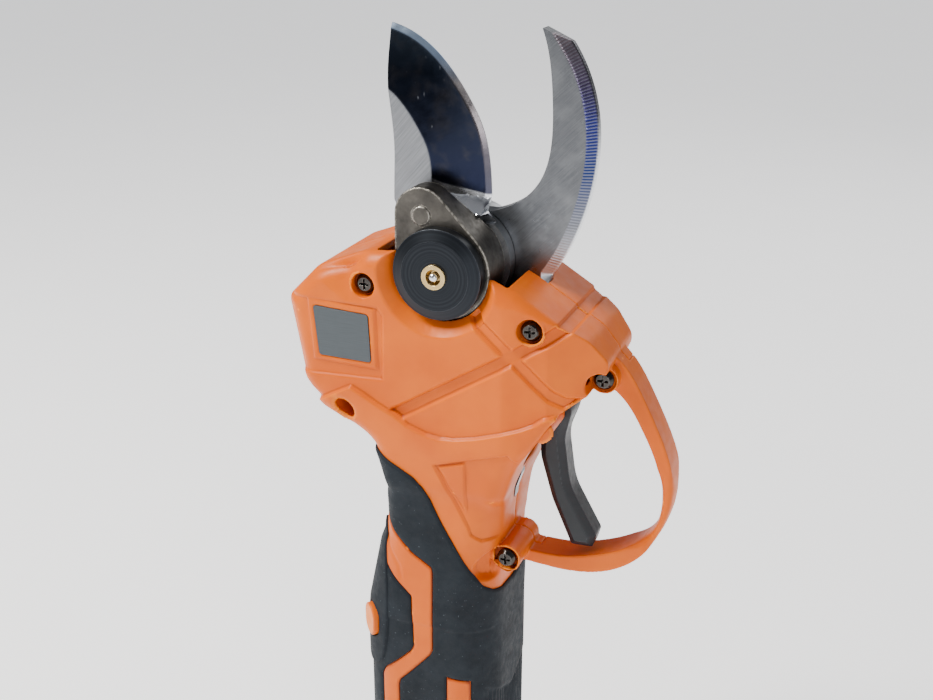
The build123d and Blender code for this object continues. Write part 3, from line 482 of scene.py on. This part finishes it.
def inside_loops(points, loops):
    """True where a point is inside an odd number of closed loops."""
    inside = np.zeros(len(points), bool)
    for loop in loops:
        for (x1, z1), (x2, z2) in zip(loop, np.roll(loop, -1, axis=0)):
            crosses = (z1 > points[:, 1]) != (z2 > points[:, 1])
            if z1 != z2:
                crosses &= points[:, 0] < (x2 - x1) * (points[:, 1] - z1) / (z2 - z1) + x1
                inside ^= crosses
    return inside


def signed_distance(points, loops):
    """Distance to the loops, positive inside them."""
    gap = np.min([path_distance(points, loop, closed=True)[0] for loop in loops], axis=0)
    return np.where(inside_loops(points, loops), gap, -gap)


def border_of(polygons):
    """The edges (a, b) that only one polygon has, as that polygon runs along them."""
    border = {}
    for polygon in polygons:
        for a, b in zip(polygon, polygon[1:] + polygon[:1]):
            if (b, a) in border:
                del border[(b, a)]
            else:
                border[(a, b)] = True
    return list(border)


def flat_outline(node, y):
    """Outline loops, in X and Z, of a CAD node's flat face at that Y."""
    mesh = NODES[node].data
    points = points_of(mesh)
    keys = [tuple(np.round(p, 3)) for p in points]
    polygons = [[keys[i] for i in polygon.vertices] for polygon in mesh.polygons]
    flat = [p for p in polygons if all(abs(corner[1] - y) <= ON_FACE for corner in p)]
    following = dict(border_of(flat))
    loops = []
    while following:
        first, point = next(iter(following.items()))
        loop = [first]
        del following[first]
        while point != first and point in following:
            loop.append(point)
            point = following.pop(point)
        if len(loop) > 3:
            loops.append(np.array([(p[0], p[2]) for p in loop]))
    return loops


def clipped_sheet(name, field, low, high, cell, front, back, crease=35.0):
    """A closed plate over the (u, v) places from low to high where field is positive.

    front and back turn (u, v) rows into millimetre points of the plate's two faces.
    Returns the piece and each vertex's place, the front face's first.
    """
    us = np.arange(low[0], high[0] + cell[0], cell[0])
    vs = np.arange(low[1], high[1] + cell[1], cell[1])
    grid_u, grid_v = np.meshgrid(us, vs, indexing="ij")
    spots = np.column_stack([grid_u.ravel(), grid_v.ravel()])
    values = field(spots).reshape(grid_u.shape)
    places = []
    known = {}

    def corner(i, j):
        key = (i, j)
        if key not in known:
            known[key] = len(places)
            places.append((us[i], vs[j]))
        return known[key]

    def crossing(i, j, k, m):
        key = (min((i, j), (k, m)), max((i, j), (k, m)))
        if key not in known:
            known[key] = len(places)
            (a, b), (c, d) = key
            share = values[a, b] / (values[a, b] - values[c, d])
            places.append((us[a] + share * (us[c] - us[a]), vs[b] + share * (vs[d] - vs[b])))
        return known[key]

    positive = values > 0
    some = positive[:-1, :-1] | positive[1:, :-1] | positive[1:, 1:] | positive[:-1, 1:]
    polygons = []
    for i, j in np.argwhere(some):
        walk = ((i, j), (i + 1, j), (i + 1, j + 1), (i, j + 1))
        polygon = []
        for a, b in zip(walk, walk[1:] + walk[:1]):
            if positive[a]:
                polygon.append(corner(*a))
            if positive[a] != positive[b]:
                polygon.append(crossing(*a, *b))
        if len(polygon) > 2:
            polygons.append(polygon)
    places = np.array(places)
    total = len(places)
    points = np.vstack([front(places), back(places)])
    faces = polygons + [[total + i for i in reversed(p)] for p in polygons]
    faces += [[b, a, total + a, total + b] for a, b in border_of(polygons)]
    piece = add_object(name, mesh_from(name, points, faces, crease))
    return piece, np.vstack([places, places])


def flat_plate(name, loops, cell, front_y, back_y, crease):
    """A clipped sheet inside outline loops, with its faces at the Y that places give."""
    outer = max(loops, key=len)

    def face_at(y):
        return lambda p: np.column_stack([p[:, 0], y(p), p[:, 1]])

    return clipped_sheet(
        name,
        lambda p: signed_distance(p, loops),
        outer.min(0) - 0.5,
        outer.max(0) + 0.5,
        (cell, cell),
        face_at(front_y),
        face_at(back_y),
        crease,
    )


def on_front(places):
    """1 for each vertex of a clipped sheet's front face and 0 for its back."""
    return np.repeat([1.0, 0.0], len(places) // 2)


def finish_piece(piece, material, body, slot, *nodes):
    """Material, body and the CAD nodes that a piece stands for. The record slot is not used."""
    piece.data.materials.clear()
    piece.data.materials.append(material)
    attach(piece, body)
    if nodes:
        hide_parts(*nodes)
    return piece


# ---- housing ----------------------------------------------------------------------

STEP_LINE = [
    (-33.0, 183.4), (-25.4, 187.5), (-20.6, 190.0), (-17.1, 188.4), (-12.2, 185.7), (-7.3, 183.4),
    (-3.2, 180.9), (2.4, 179.0), (6.5, 178.5), (10.6, 178.8), (16.7, 180.2), (23.3, 182.4),
    (28.9, 184.3), (32.5, 186.0), (35.5, 188.3), (44.0, 190.5),
]
LONG_GROOVE = [(-7.2, 183.2), (25.6, 203.9), (30.5, 207.3), (36.2, 210.6), (40.2, 213.6)]
SHORT_GROOVE = [
    (15.6, 214.5), (26.8, 204.4), (33.0, 198.0), (37.1, 194.2), (40.6, 192.4), (45.5, 192.0),
]
LABEL_FRAME = [(-33.3, 214.2), (-13.0, 213.2), (-12.5, 195.8), (-32.0, 196.4)]
LABEL_FIELD = [(-45.0, 214.6), (-12.2, 213.8), (-10.6, 211.8), (-10.9, 193.0), (-45.0, 191.4)]
FACET_CREASE = [
    (-45.0, 218.0), (-28.6, 219.6), (-25.5, 217.3), (-21.0, 214.6), (-15.5, 214.2), (-10.5, 219.0),
]
FACET_SLOPE = 0.24
NECK_PANEL = [
    (4.4, 169.8), (17.5, 174.2), (26.0, 176.6), (30.0, 172.0), (24.0, 146.0), (17.3, 146.0),
    (14.6, 148.0), (13.7, 151.0),
]
TRIANGLE = [(5.9, 169.4), (13.6, 171.8), (13.4, 155.6)]

# The dish around the lowest screw: middle, direction of its long axis, half lengths, depth.
DISH_MIDDLE = np.array([20.9, 137.6])
DISH_AXIS = np.array([0.82, 0.57])
DISH_ACROSS = np.array([-0.57, 0.82])
DISH_SIZE = (6.6, 4.6)
DISH_DEPTH = 2.2

# How far the neck's back moves forward at each height, and the X from which it does so.
WAIST_HEIGHTS = (138, 146, 150, 157.2, 158.6, 166, 172, 178, 182, 187)
WAIST_SHIFTS = (0.0, 1.2, 1.9, 1.9, 4.3, 4.2, 4.1, 3.0, 1.5, 0.0)
WAIST_X = (-7.0, -14.0)

# Stretches of the shell that are evened out: heights of the rise and of the fall, rounds.
RELAXED = ((145, 151, 172, 164, 140), (106, 109, 120, 115, 50))
SEAM_WIDTH = 0.4
FLANK_Y = 8.0  # relief is pressed in beyond this distance from the seam,
FLANK_FOOT = 116.0  # above this height
NOSE_MIDDLE = np.array([28.0, 0.0, 202.0])
NOSE_X = 33.0
NOSE_FOOT = 207.0
NOSE_SHARE = 0.45


def groove(gap, half_width, depth):
    """How deep a flat-floored groove is at a distance from its middle line."""
    return depth * (1 - smoothstep(gap, half_width - 0.75, half_width + 0.25))


def panel(points, outline, depth, edge=0.5):
    """How deep a sunken panel is: depth inside its outline, with a sloped edge."""
    gap = signed_distance(points, [np.array(outline, float)])
    return depth * smoothstep(gap, -edge, edge)


def below_line(points, line):
    """Signed distance below an open line that runs from left to right."""
    gap, _ = path_distance(points, line)
    line = np.array(line)
    height = np.interp(points[:, 0], line[:, 0], line[:, 1])
    return np.where(points[:, 1] < height, gap, -gap)


def shared_relief(flat, step=0.45):
    """Depth of the moulded lines on both sides of the head, with the step above the neck."""
    depth = groove(path_distance(flat, LONG_GROOVE)[0], 2.1, 1.25)
    depth = np.maximum(depth, groove(path_distance(flat, SHORT_GROOVE)[0], 1.9, 1.15))
    under = below_line(flat, STEP_LINE)
    raised = smoothstep(under, -0.25, 0.45) * step * (1 - 0.8 * smoothstep(under, 1.0, 16.0))
    depth = depth * (1 - smoothstep(under, -0.4, 0.4)) - raised
    depth += panel(flat, NECK_PANEL, 0.7, 0.3)
    depth -= panel(flat, TRIANGLE, 0.6, 0.25)
    return depth


def near_relief(flat):
    """Depth of everything moulded into the near face."""
    depth = shared_relief(flat, 1.4)
    depth += panel(flat, LABEL_FIELD, 0.7)
    depth -= panel(flat, LABEL_FRAME, 0.6, 0.4)
    above = -below_line(flat, FACET_CREASE)
    beside = smoothstep(flat[:, 0], -14.0, -23.0)
    depth += np.clip(above, 0, 14) * FACET_SLOPE * beside
    offset = (flat - DISH_MIDDLE) @ DISH_AXIS
    across = (flat - DISH_MIDDLE) @ DISH_ACROSS
    oval = np.sqrt((offset / DISH_SIZE[0]) ** 2 + (across / DISH_SIZE[1]) ** 2)
    depth += DISH_DEPTH * (1 - smoothstep(oval, 0.72, 1.08))
    return depth


def draw_in_waist(points):
    """Moves the back of the neck forward into its slim waist."""
    moved = points.copy()
    shift = np.interp(points[:, 2], WAIST_HEIGHTS, WAIST_SHIFTS)
    moved[:, 0] += shift * smoothstep(points[:, 0], *WAIST_X)
    return moved


def relax(mesh, points, weight, rounds):
    """Moves points towards their neighbours by their weight, without opening the seam."""
    ends = np.zeros(len(mesh.edges) * 2, np.int64)
    mesh.edges.foreach_get("vertices", ends)
    ends = ends.reshape(-1, 2)
    ends = ends[(weight[ends] > 0).any(axis=1)]
    count = len(points)
    fan = np.maximum(np.bincount(ends.ravel(), minlength=count), 1)
    seam = np.abs(points[:, 1]) < SEAM_WIDTH
    for _ in range(rounds):
        total = np.zeros_like(points)
        for axis in range(3):
            total[:, axis] += np.bincount(ends[:, 0], points[ends[:, 1], axis], count)
            total[:, axis] += np.bincount(ends[:, 1], points[ends[:, 0], axis], count)
        step = total / fan[:, None] - points
        step[seam, 1] = 0.0
        points = points + 0.5 * weight[:, None] * step
    return points


def sculpt_shell(name, node, side, relief):
    """The shell with its relief pressed in along the normals of its flank and nose."""
    piece = remeshed(name, node, HOUSING_VOXEL, 3)
    points = draw_in_waist(points_of(piece.data))
    heights = points[:, 2]
    for rise_from, rise_to, fall_to, fall_from, rounds in RELAXED:
        weight = smoothstep(heights, rise_from, rise_to) * smoothstep(heights, fall_to, fall_from)
        points = relax(piece.data, points, weight, rounds)
    set_points(piece.data, points)
    normals = normals_of(piece.data)
    facing = side * normals[:, 1]
    flank = (side * points[:, 1] > FLANK_Y) & (facing > 0.1) & (points[:, 2] > FLANK_FOOT)
    outward = np.sum(normals * (points - NOSE_MIDDLE), axis=1)
    reach = np.linalg.norm(points - NOSE_MIDDLE, axis=1)
    nose = (points[:, 0] > NOSE_X) & (points[:, 2] > NOSE_FOOT) & (outward > 0.3 * reach)
    chosen = np.flatnonzero(flank | nose)
    turned = smoothstep(facing[chosen], 0.1, 0.6)
    on_nose = nose[chosen] * smoothstep(points[chosen, 0], NOSE_X, NOSE_X + 4.0)
    weight = np.maximum(turned, NOSE_SHARE * on_nose)
    depth = relief(points[chosen][:, [0, 2]]) * weight
    points[chosen] -= normals[chosen] * depth[:, None]
    set_points(piece.data, points)
    return finish_piece(piece, ORANGE_PLASTIC, "housing", "orange_housing", node)


def bvh_of(*pieces):
    """Search tree over the millimetre points of several pieces."""
    points = []
    faces = []
    for piece in pieces:
        base = len(points)
        points += [Vector(p) for p in points_of(piece.data)]
        faces += [[base + i for i in polygon.vertices] for polygon in piece.data.polygons]
    return BVHTree.FromPolygons(points, faces)


# ---- grips ------------------------------------------------------------------------

DEGREE = 0.3665  # millimetres of grip surface in one degree around the handle
GRIP_SKIN = 0.7
GRIP_BOTTOM = 30.4
GRIP_TOP = 176.0
UNDERSIDE = 0.05  # how far above the shell a grip or band begins
BAND_GAP = 0.25
RIM_WIDTH = 0.8
RIB_PITCH = 1.5
RAY_START = 31
RAY_LENGTH = 20
FAR_LIMIT_Y = 21.4  # just inside the CAD box's far side

# Outlines on the grip: (angle around the handle in degrees, height) each.
GRIP_EDGE = [
    (-12, 125.2), (0, 125.8), (24, 127.0), (35, 128.6), (43, 130.8), (49, 134.1), (57, 139.4),
    (64, 144.8), (74, 151.6), (82, 157.6), (88, 161.8), (95, 164.6), (109, 167.6), (121, 170.3),
    (140, 173.0), (180, 174.5), (192, 174.5),
]
BAND = [
    (138, 152.0), (127, 148.5), (114, 144.1), (99, 139.2), (82, 135.7), (81, 134.2), (81.5, 107.5),
    (84, 105.6), (111, 94.4), (112, 92.5), (112, 66.0), (108, 62.0), (121, 56.0), (125, 60.0),
    (125, 94.6), (122, 97.2), (100, 105.9), (98, 107.6), (99.5, 124.9), (109, 128.2), (123, 133.2),
    (133, 137.0), (141, 145.0),
]
STRIP = [(69, 99.0), (52.5, 98.4), (52.5, 52.0), (60, 46.5), (69, 52.0)]
SUB_LINE = [(131, 143.0), (110, 134.4), (108.5, 130.8)]
FINGER_PANEL = [
    (-60, 84.0), (-20, 85.6), (3, 88.0), (24, 91.5), (43, 95.6), (43, 50.0), (24, 45.0),
    (-60, 43.0),
]
BUTTON_MIDDLE = (135, 112)
BUTTON_HALF = (4.1, 6.1)


def on_grip(rows):
    """Angle and height rows as flat millimetre places."""
    rows = np.asarray(rows, float)
    return np.column_stack([rows[:, 0] * DEGREE, rows[:, 1]])


def grip_field(places):
    """Positive where the grip is rubber: below its upper edge and off the orange bands."""
    under = below_line(places, on_grip(GRIP_EDGE))
    band = signed_distance(places, [on_grip(BAND)])
    strip = signed_distance(places, [on_grip(STRIP)])
    above = places[:, 1] - GRIP_BOTTOM
    return np.minimum.reduce([under, -band - BAND_GAP, -strip - BAND_GAP, above])


def wrap_onto(tree, side, places, lift):
    """Grip places as points at a height above the shell, along its own normals."""
    found = np.zeros((len(places), 3))
    for row, (s, z) in enumerate(places):
        angle = radians(s / DEGREE)
        outward = Vector((cos(angle), side * sin(angle), 0.0))
        height = Vector((0, 0, z))
        # Straight ahead and behind, the ray would run along the open seam: it goes beside it.
        inset = Vector((0.0, -side * 2.0 * abs(cos(angle)) ** 20, 0.0))
        start = outward * RAY_START + height - inset
        hit, normal, _, _ = tree.ray_cast(start, -outward, RAY_LENGTH)
        level = Vector((normal.x, normal.y, 0)).normalized() if hit else outward
        place = hit if hit else outward * 20 + height
        found[row] = place + inset + level * lift[row]
    found[:, 1] = np.minimum(found[:, 1], FAR_LIMIT_Y)
    return found


def rubber_lift(places):
    """Height of the rubber above the shell: a skin with rounded rims and a ribbed panel."""
    edge = np.clip(grip_field(places), 0.0, RIM_WIDTH)
    lift = GRIP_SKIN + 0.25 - 0.45 * (1 - edge / RIM_WIDTH) ** 2
    finger = signed_distance(places, [on_grip(FINGER_PANEL)])
    ribs = 0.16 * (1 + np.sin(places[:, 0] * 2 * pi / RIB_PITCH))
    lift -= smoothstep(finger, -0.2, 0.3) * (0.22 + ribs * smoothstep(finger, 0.4, 1.2))
    low = smoothstep(places[:, 1], GRIP_BOTTOM + 0.2, GRIP_BOTTOM + 1.2)
    return lift - 0.25 * (1 - low)


def button_clearance(places):
    """Positive outside the power button's oval, on the near rear corner."""
    across = (places[:, 0] - BUTTON_MIDDLE[0] * DEGREE) / BUTTON_HALF[0]
    up = (places[:, 1] - BUTTON_MIDDLE[1]) / BUTTON_HALF[1]
    return 4 * (np.hypot(across, up) - 1)


def near_grip_field(places):
    return np.minimum(grip_field(places), button_clearance(places))


def wrapped_sheet(name, tree, side, field, low, high, cell, lift):
    """A clipped sheet on the shell, from its underside up to lift(places)."""
    piece, _ = clipped_sheet(
        name,
        field,
        low,
        high,
        cell,
        lambda p: wrap_onto(tree, side, p, lift(p)),
        lambda p: wrap_onto(tree, side, p, np.full(len(p), UNDERSIDE)),
    )
    return piece


def make_grip(name, tree, side, node):
    field = near_grip_field if side == NEAR else grip_field
    around = 180.0 * DEGREE
    low = (0.0, GRIP_BOTTOM - 0.4)
    high = (around, GRIP_TOP)
    piece = wrapped_sheet(name, tree, side, field, low, high, (around / 180, 0.5), rubber_lift)
    return finish_piece(piece, GRIP_RUBBER, "housing", "soft_grip", node)


def make_inlay(name, tree, side, outline):
    """One orange band, set flush with the rubber around it."""
    loop = on_grip(outline)

    def field(places):
        return signed_distance(places, [loop])

    def lift(places):
        gap = np.clip(field(places), 0, 0.6)
        sub = path_distance(places, on_grip(SUB_LINE))[0]
        return GRIP_SKIN + 0.1 - 0.3 * (1 - gap / 0.6) ** 2 - groove(sub, 0.75, 0.25)

    low = loop.min(0) - 1
    high = loop.max(0) + 1
    piece = wrapped_sheet(name, tree, side, field, low, high, (0.33, 0.5), lift)
    return finish_piece(piece, ORANGE_PLASTIC, "housing", "orange_housing")


# ---- cutting head -----------------------------------------------------------------

BLADE_BACK_Y = -0.3
BLADE_THICK = 4.0
BLADE_HEEL = (13.5, 242.5)  # lower end of the cutting edge
GROUND_WIDTH = 15.8
HONED_WIDTH = 1.5
GROUND_FOOT = 236.0  # below this height the blade keeps its full thickness
RAMP_LINE = ((-9.0, 0.4, 12.5), (245.0, 241.0, 238.4))  # the ramp's foot: X and Z
RAMP_HEIGHT = 6.5
RAMP_FALL = 1.55
LOBE_FOOT = 236.5
LOBE_BACK_Y = -9.5
HOOK_BACK_Y = 4.5
HOOK_BEVEL = 2.6
HOOK_EDGE = ((30.2, 221.5), (33.9, 283.9))  # ends of the hook's outer bevel
HOOK_SHOULDER = 284.1
TRIGGER_HALF = 4.5
TRIGGER_CHAMFER = 2.0
BLADE_CELL = 0.26
TRIGGER_CELL = 0.33

def right_part(loop, low, high):
    """The stretch of an outline that lies right of the straight line from low to high."""
    low = np.array(low, float)
    high = np.array(high, float)
    step = high - low
    side = (loop[:, 0] - low[0]) * step[1] - (loop[:, 1] - low[1]) * step[0]
    keep = (side > -0.01 * np.linalg.norm(step)) & (loop[:, 1] > low[1] - 0.05)
    kept = loop[keep]
    return kept[np.argsort(kept[:, 1])]


def make_blade():
    """Cutting blade: hollow-ground face, honed strip at the edge, ramp at the heel."""
    loops = flat_outline("moving_blade", BLADE_BACK_Y - BLADE_THICK)
    outer = max(loops, key=len)
    edge = right_part(outer, BLADE_HEEL, outer[np.argmax(outer[:, 1])])

    def ramp_share(places):
        above = places[:, 1] - np.interp(places[:, 0], *RAMP_LINE)
        near = smoothstep(places[:, 0], -4.0, 0.5)
        return above, near

    def thickness(places):
        gap = path_distance(places, edge)[0]
        honed = 0.35 + 0.75 * np.clip(gap / HONED_WIDTH, 0, 1)
        share = np.clip((gap - HONED_WIDTH) / (GROUND_WIDTH - HONED_WIDTH), 0, 1)
        ground = np.minimum(honed + 2.9 * share**1.25, BLADE_THICK)
        body = np.where(places[:, 1] < GROUND_FOOT, BLADE_THICK, ground)
        above, near = ramp_share(places)
        ramp = np.clip(RAMP_HEIGHT - np.clip(above, 0, 99) * RAMP_FALL, 0, RAMP_HEIGHT)
        ramp = np.where(above < -0.6, 0, ramp * smoothstep(above, -0.6, 0.0))
        return np.maximum(body, ramp * near * smoothstep(gap, 0.0, 2.5))

    piece, places = flat_plate(
        "cutting_blade",
        loops,
        BLADE_CELL,
        lambda p: BLADE_BACK_Y - thickness(p),
        lambda p: np.full(len(p), BLADE_BACK_Y),
        crease=18.0,
    )
    gap = path_distance(places, edge)[0]
    above, near = ramp_share(places)
    on_ramp = near * smoothstep(above, -0.6, -0.3) * (1 - smoothstep(above, 4.4, 4.9))
    heel = 1 - smoothstep(places[:, 1], 237.0, 238.0)
    flat = np.maximum(smoothstep(gap, GROUND_WIDTH - 0.3, GROUND_WIDTH + 0.3), heel)
    # height drives the painted reflection on the ground face and honed strip.
    paint(piece, "height", np.clip((places[:, 1] - 240) / 46, 0, 1))
    paint(piece, "strip", 1 - smoothstep(gap, 1.35, 1.65))
    paint(piece, "brushed", np.maximum(flat * (1 - on_ramp), 1 - on_front(places)))
    paint(piece, "ramp", on_ramp)
    return finish_piece(piece, BLADE_STEEL, "cutter", "blade_steel", "moving_blade")


def make_boss():
    """The carrier boss, its lobe around the drive pin thinned so that the blade's ramp shows."""
    piece = add_object("carrier_boss", NODES["sector_gear"].data.copy())
    points = points_of(piece.data)
    lobe = (points[:, 2] > LOBE_FOOT) & (points[:, 1] > LOBE_BACK_Y)
    points[lobe, 1] = LOBE_BACK_Y
    set_points(piece.data, points)
    piece.data.set_sharp_from_angle(angle=radians(30))
    return finish_piece(piece, FINISHES["cast_carrier"], "cutter", "cast_carrier", "sector_gear")


def make_hook():
    """Fixed hooked blade with its ground outer bevel."""
    loops = flat_outline("fixed_blade", HOOK_BACK_Y)
    rim = right_part(max(loops, key=len), *HOOK_EDGE)
    rim = rim[rim[:, 1] < HOOK_SHOULDER]
    rim = np.vstack([rim, rim[-1] + 4 * (rim[-1] - rim[-2])])

    def bevel(places):
        return np.clip(HOOK_BEVEL - path_distance(places, rim)[0], 0, HOOK_BEVEL)

    piece, places = flat_plate(
        "hook_blade",
        loops,
        BLADE_CELL,
        bevel,
        lambda p: np.full(len(p), HOOK_BACK_Y),
        crease=22.0,
    )
    gap, along = path_distance(places, rim)
    on_bevel = 1 - smoothstep(gap, HOOK_BEVEL, HOOK_BEVEL + 0.3)
    # height drives the painted reflection on the bevel and the painted highlight along its rim.
    paint(piece, "height", np.clip((places[:, 1] - 221) / 66, 0, 1))
    paint(piece, "strip", on_bevel * on_front(places))
    # Painted highlight: the mask of the thin bright line along the outer rim.
    paint(piece, "rim", 1 - smoothstep(gap, 0.12, 0.4))
    paint(piece, "along", along)
    return finish_piece(piece, HOOK_STEEL, "housing", "blade_steel", "fixed_blade")


def make_trigger():
    """Finger lever with wide chamfers along both sides."""
    loops = flat_outline("trigger", -TRIGGER_HALF)
    outer = max(loops, key=len)

    def half_width(places):
        gap = path_distance(places, outer, closed=True)[0]
        chamfer = np.clip(TRIGGER_CHAMFER - gap, 0, TRIGGER_CHAMFER) * 0.85
        return TRIGGER_HALF - chamfer * smoothstep(places[:, 1], 183.0, 178.0)

    piece, _ = flat_plate(
        "finger_trigger",
        loops,
        TRIGGER_CELL,
        lambda p: -half_width(p),
        half_width,
        crease=24.0,
    )
    return finish_piece(piece, BLACK_PLASTIC, "trigger_lever", "black_plastic", "trigger")


# ---- build ------------------------------------------------------------------------

ORANGE_PLASTIC = orange_plastic()
GRIP_RUBBER = grip_rubber()
BLACK_PLASTIC = black_plastic()
BLADE_STEEL = blade_steel()
HOOK_STEEL = hook_steel()

FINISHES = {
    "soft_grip": GRIP_RUBBER,
    "orange_button": ORANGE_PLASTIC,
    "orange_housing": ORANGE_PLASTIC,
    "black_plastic": BLACK_PLASTIC,
    "blade_steel": BLADE_STEEL,
    "label": label_finish(),
    "cast_carrier": cast_metal(),
    "black_steel": turned_black(),
    "laminations": laminated(),
    "window": machined("smoked_window", (0.02, 0.02, 0.022), (0.04, 0.04, 0.042), 0.12, 0.0),
    "dark_screw": machined("dark_chrome", (0.035, 0.032, 0.030), (0.075, 0.068, 0.062), 0.18),
    "brass": machined("brass", (0.55, 0.38, 0.16), (0.68, 0.50, 0.24), 0.28),
    "bright_steel": machined("bright_steel", (0.62, 0.62, 0.64), (0.78, 0.78, 0.80), 0.2),
    "aluminium": machined("cast_aluminium", (0.46, 0.47, 0.48), (0.60, 0.61, 0.62), 0.38),
    "circuit_board": machined("circuit_board", (0.01, 0.09, 0.035), (0.02, 0.14, 0.05), 0.4, 0.0),
    "wire": machined("wire_insulation", (0.45, 0.03, 0.02), (0.55, 0.05, 0.03), 0.45, 0.0),
    "cell_wrap": machined("cell_wrap", (0.04, 0.16, 0.34), (0.06, 0.22, 0.42), 0.35, 0.0),
}
BODY_OF = {n: body for body, names in frame["record"]["behaviour"]["bodies"].items() for n in names}

for part in frame["record"]["subparts"]:
    mesh = NODES[part["node"]].data
    mesh.materials.clear()
    mesh.materials.append(FINISHES[part["material_slot"]])
    mesh.shade_smooth()
    mesh.set_sharp_from_angle(angle=radians(30))

near_shell = sculpt_shell("near_housing", "near_shell", NEAR, near_relief)
far_shell = sculpt_shell("far_housing", "far_shell", FAR, shared_relief)
make_blade()
make_boss()
make_hook()
make_trigger()
for shell, side, word in ((near_shell, NEAR, "near"), (far_shell, FAR, "far")):
    tree = bvh_of(shell)
    make_grip(f"{word}_rubber_grip", tree, side, f"{word}_grip")
    make_inlay(f"{word}_inlay_band", tree, side, BAND)
    make_inlay(f"{word}_inlay_strip", tree, side, STRIP)
for node, name, smoothing, slot in (
    ("thumb_pad", "thumb_rest", 5, "soft_grip"),
    ("power_button", "power_oval", 6, "orange_button"),
):
    piece = remeshed(name, node, SMALL_VOXEL, smoothing)
    set_points(piece.data, draw_in_waist(points_of(piece.data)))
    finish_piece(piece, FINISHES[slot], BODY_OF[node], slot, node)


# ---- stage ------------------------------------------------------------------------

# From here on, places and sizes are metres.
FLOOR_HALF = 12.0
LOOK_AT = (0.005, 0.0, 0.2)
CAMERA_PLACE = (0.12597, -0.30402, 0.32543)
CAMERA_AZIMUTH = radians(21.558)
CAMERA_ELEVATION = radians(21.504)
CAMERA_LENS = 47.46


def make_floor():
    corners = [(x * FLOOR_HALF, y * FLOOR_HALF, 0) for x, y in ((-1, -1), (1, -1), (1, 1), (-1, 1))]
    mesh = bpy.data.meshes.new("floor")
    mesh.from_pydata(corners, [], [(0, 1, 2, 3)])
    floor = add_object("floor", mesh)
    shader = Shader("floor_paper", (0.90, 0.90, 0.91), 0.85)
    paper = shader.mix(shader.noise(60.0, 3.0), (0.89, 0.89, 0.90), (0.92, 0.92, 0.925))
    shader.colour(paper)
    shader.link(paper, shader.surface.inputs["Emission Color"])
    shader.set("Emission Strength", 1.0)
    mesh.materials.append(shader.material)


def add_light(name, place, size, power, colour=(1, 1, 1)):
    data = bpy.data.lights.new(name, "AREA")
    data.shape = "DISK"
    data.size = size
    data.energy = power
    data.color = colour
    light = bpy.data.objects.new(name, data)
    bpy.context.scene.collection.objects.link(light)
    light.location = place
    direction = Vector(LOOK_AT) - Vector(place)
    light.rotation_euler = direction.to_track_quat("-Z", "Y").to_euler()


def make_world():
    world = bpy.data.worlds.new("studio")
    bpy.context.scene.world = world
    world.use_nodes = True
    background = world.node_tree.nodes["Background"]
    background.inputs["Color"].default_value = (0.93, 0.95, 1.0, 1.0)
    background.inputs["Strength"].default_value = 0.25


def make_camera():
    data = bpy.data.cameras.new("camera")
    data.sensor_width = 36.0
    data.lens = CAMERA_LENS
    data.clip_start = 0.01
    camera = bpy.data.objects.new("camera", data)
    bpy.context.scene.collection.objects.link(camera)
    camera.location = CAMERA_PLACE
    level = cos(CAMERA_ELEVATION)
    look = (-sin(CAMERA_AZIMUTH) * level, cos(CAMERA_AZIMUTH) * level, -sin(CAMERA_ELEVATION))
    camera.rotation_euler = Vector(look).to_track_quat("-Z", "Y").to_euler()
    bpy.context.scene.camera = camera


make_floor()
make_world()
make_camera()
add_light("key_light", (-0.55, -0.35, 1.0), 0.4, 19.0, (1.0, 0.97, 0.92))
add_light("side_light", (0.75, -0.9, 0.45), 0.5, 4.0)
add_light("back_light", (0.3, 0.9, 0.8), 0.8, 3.0)
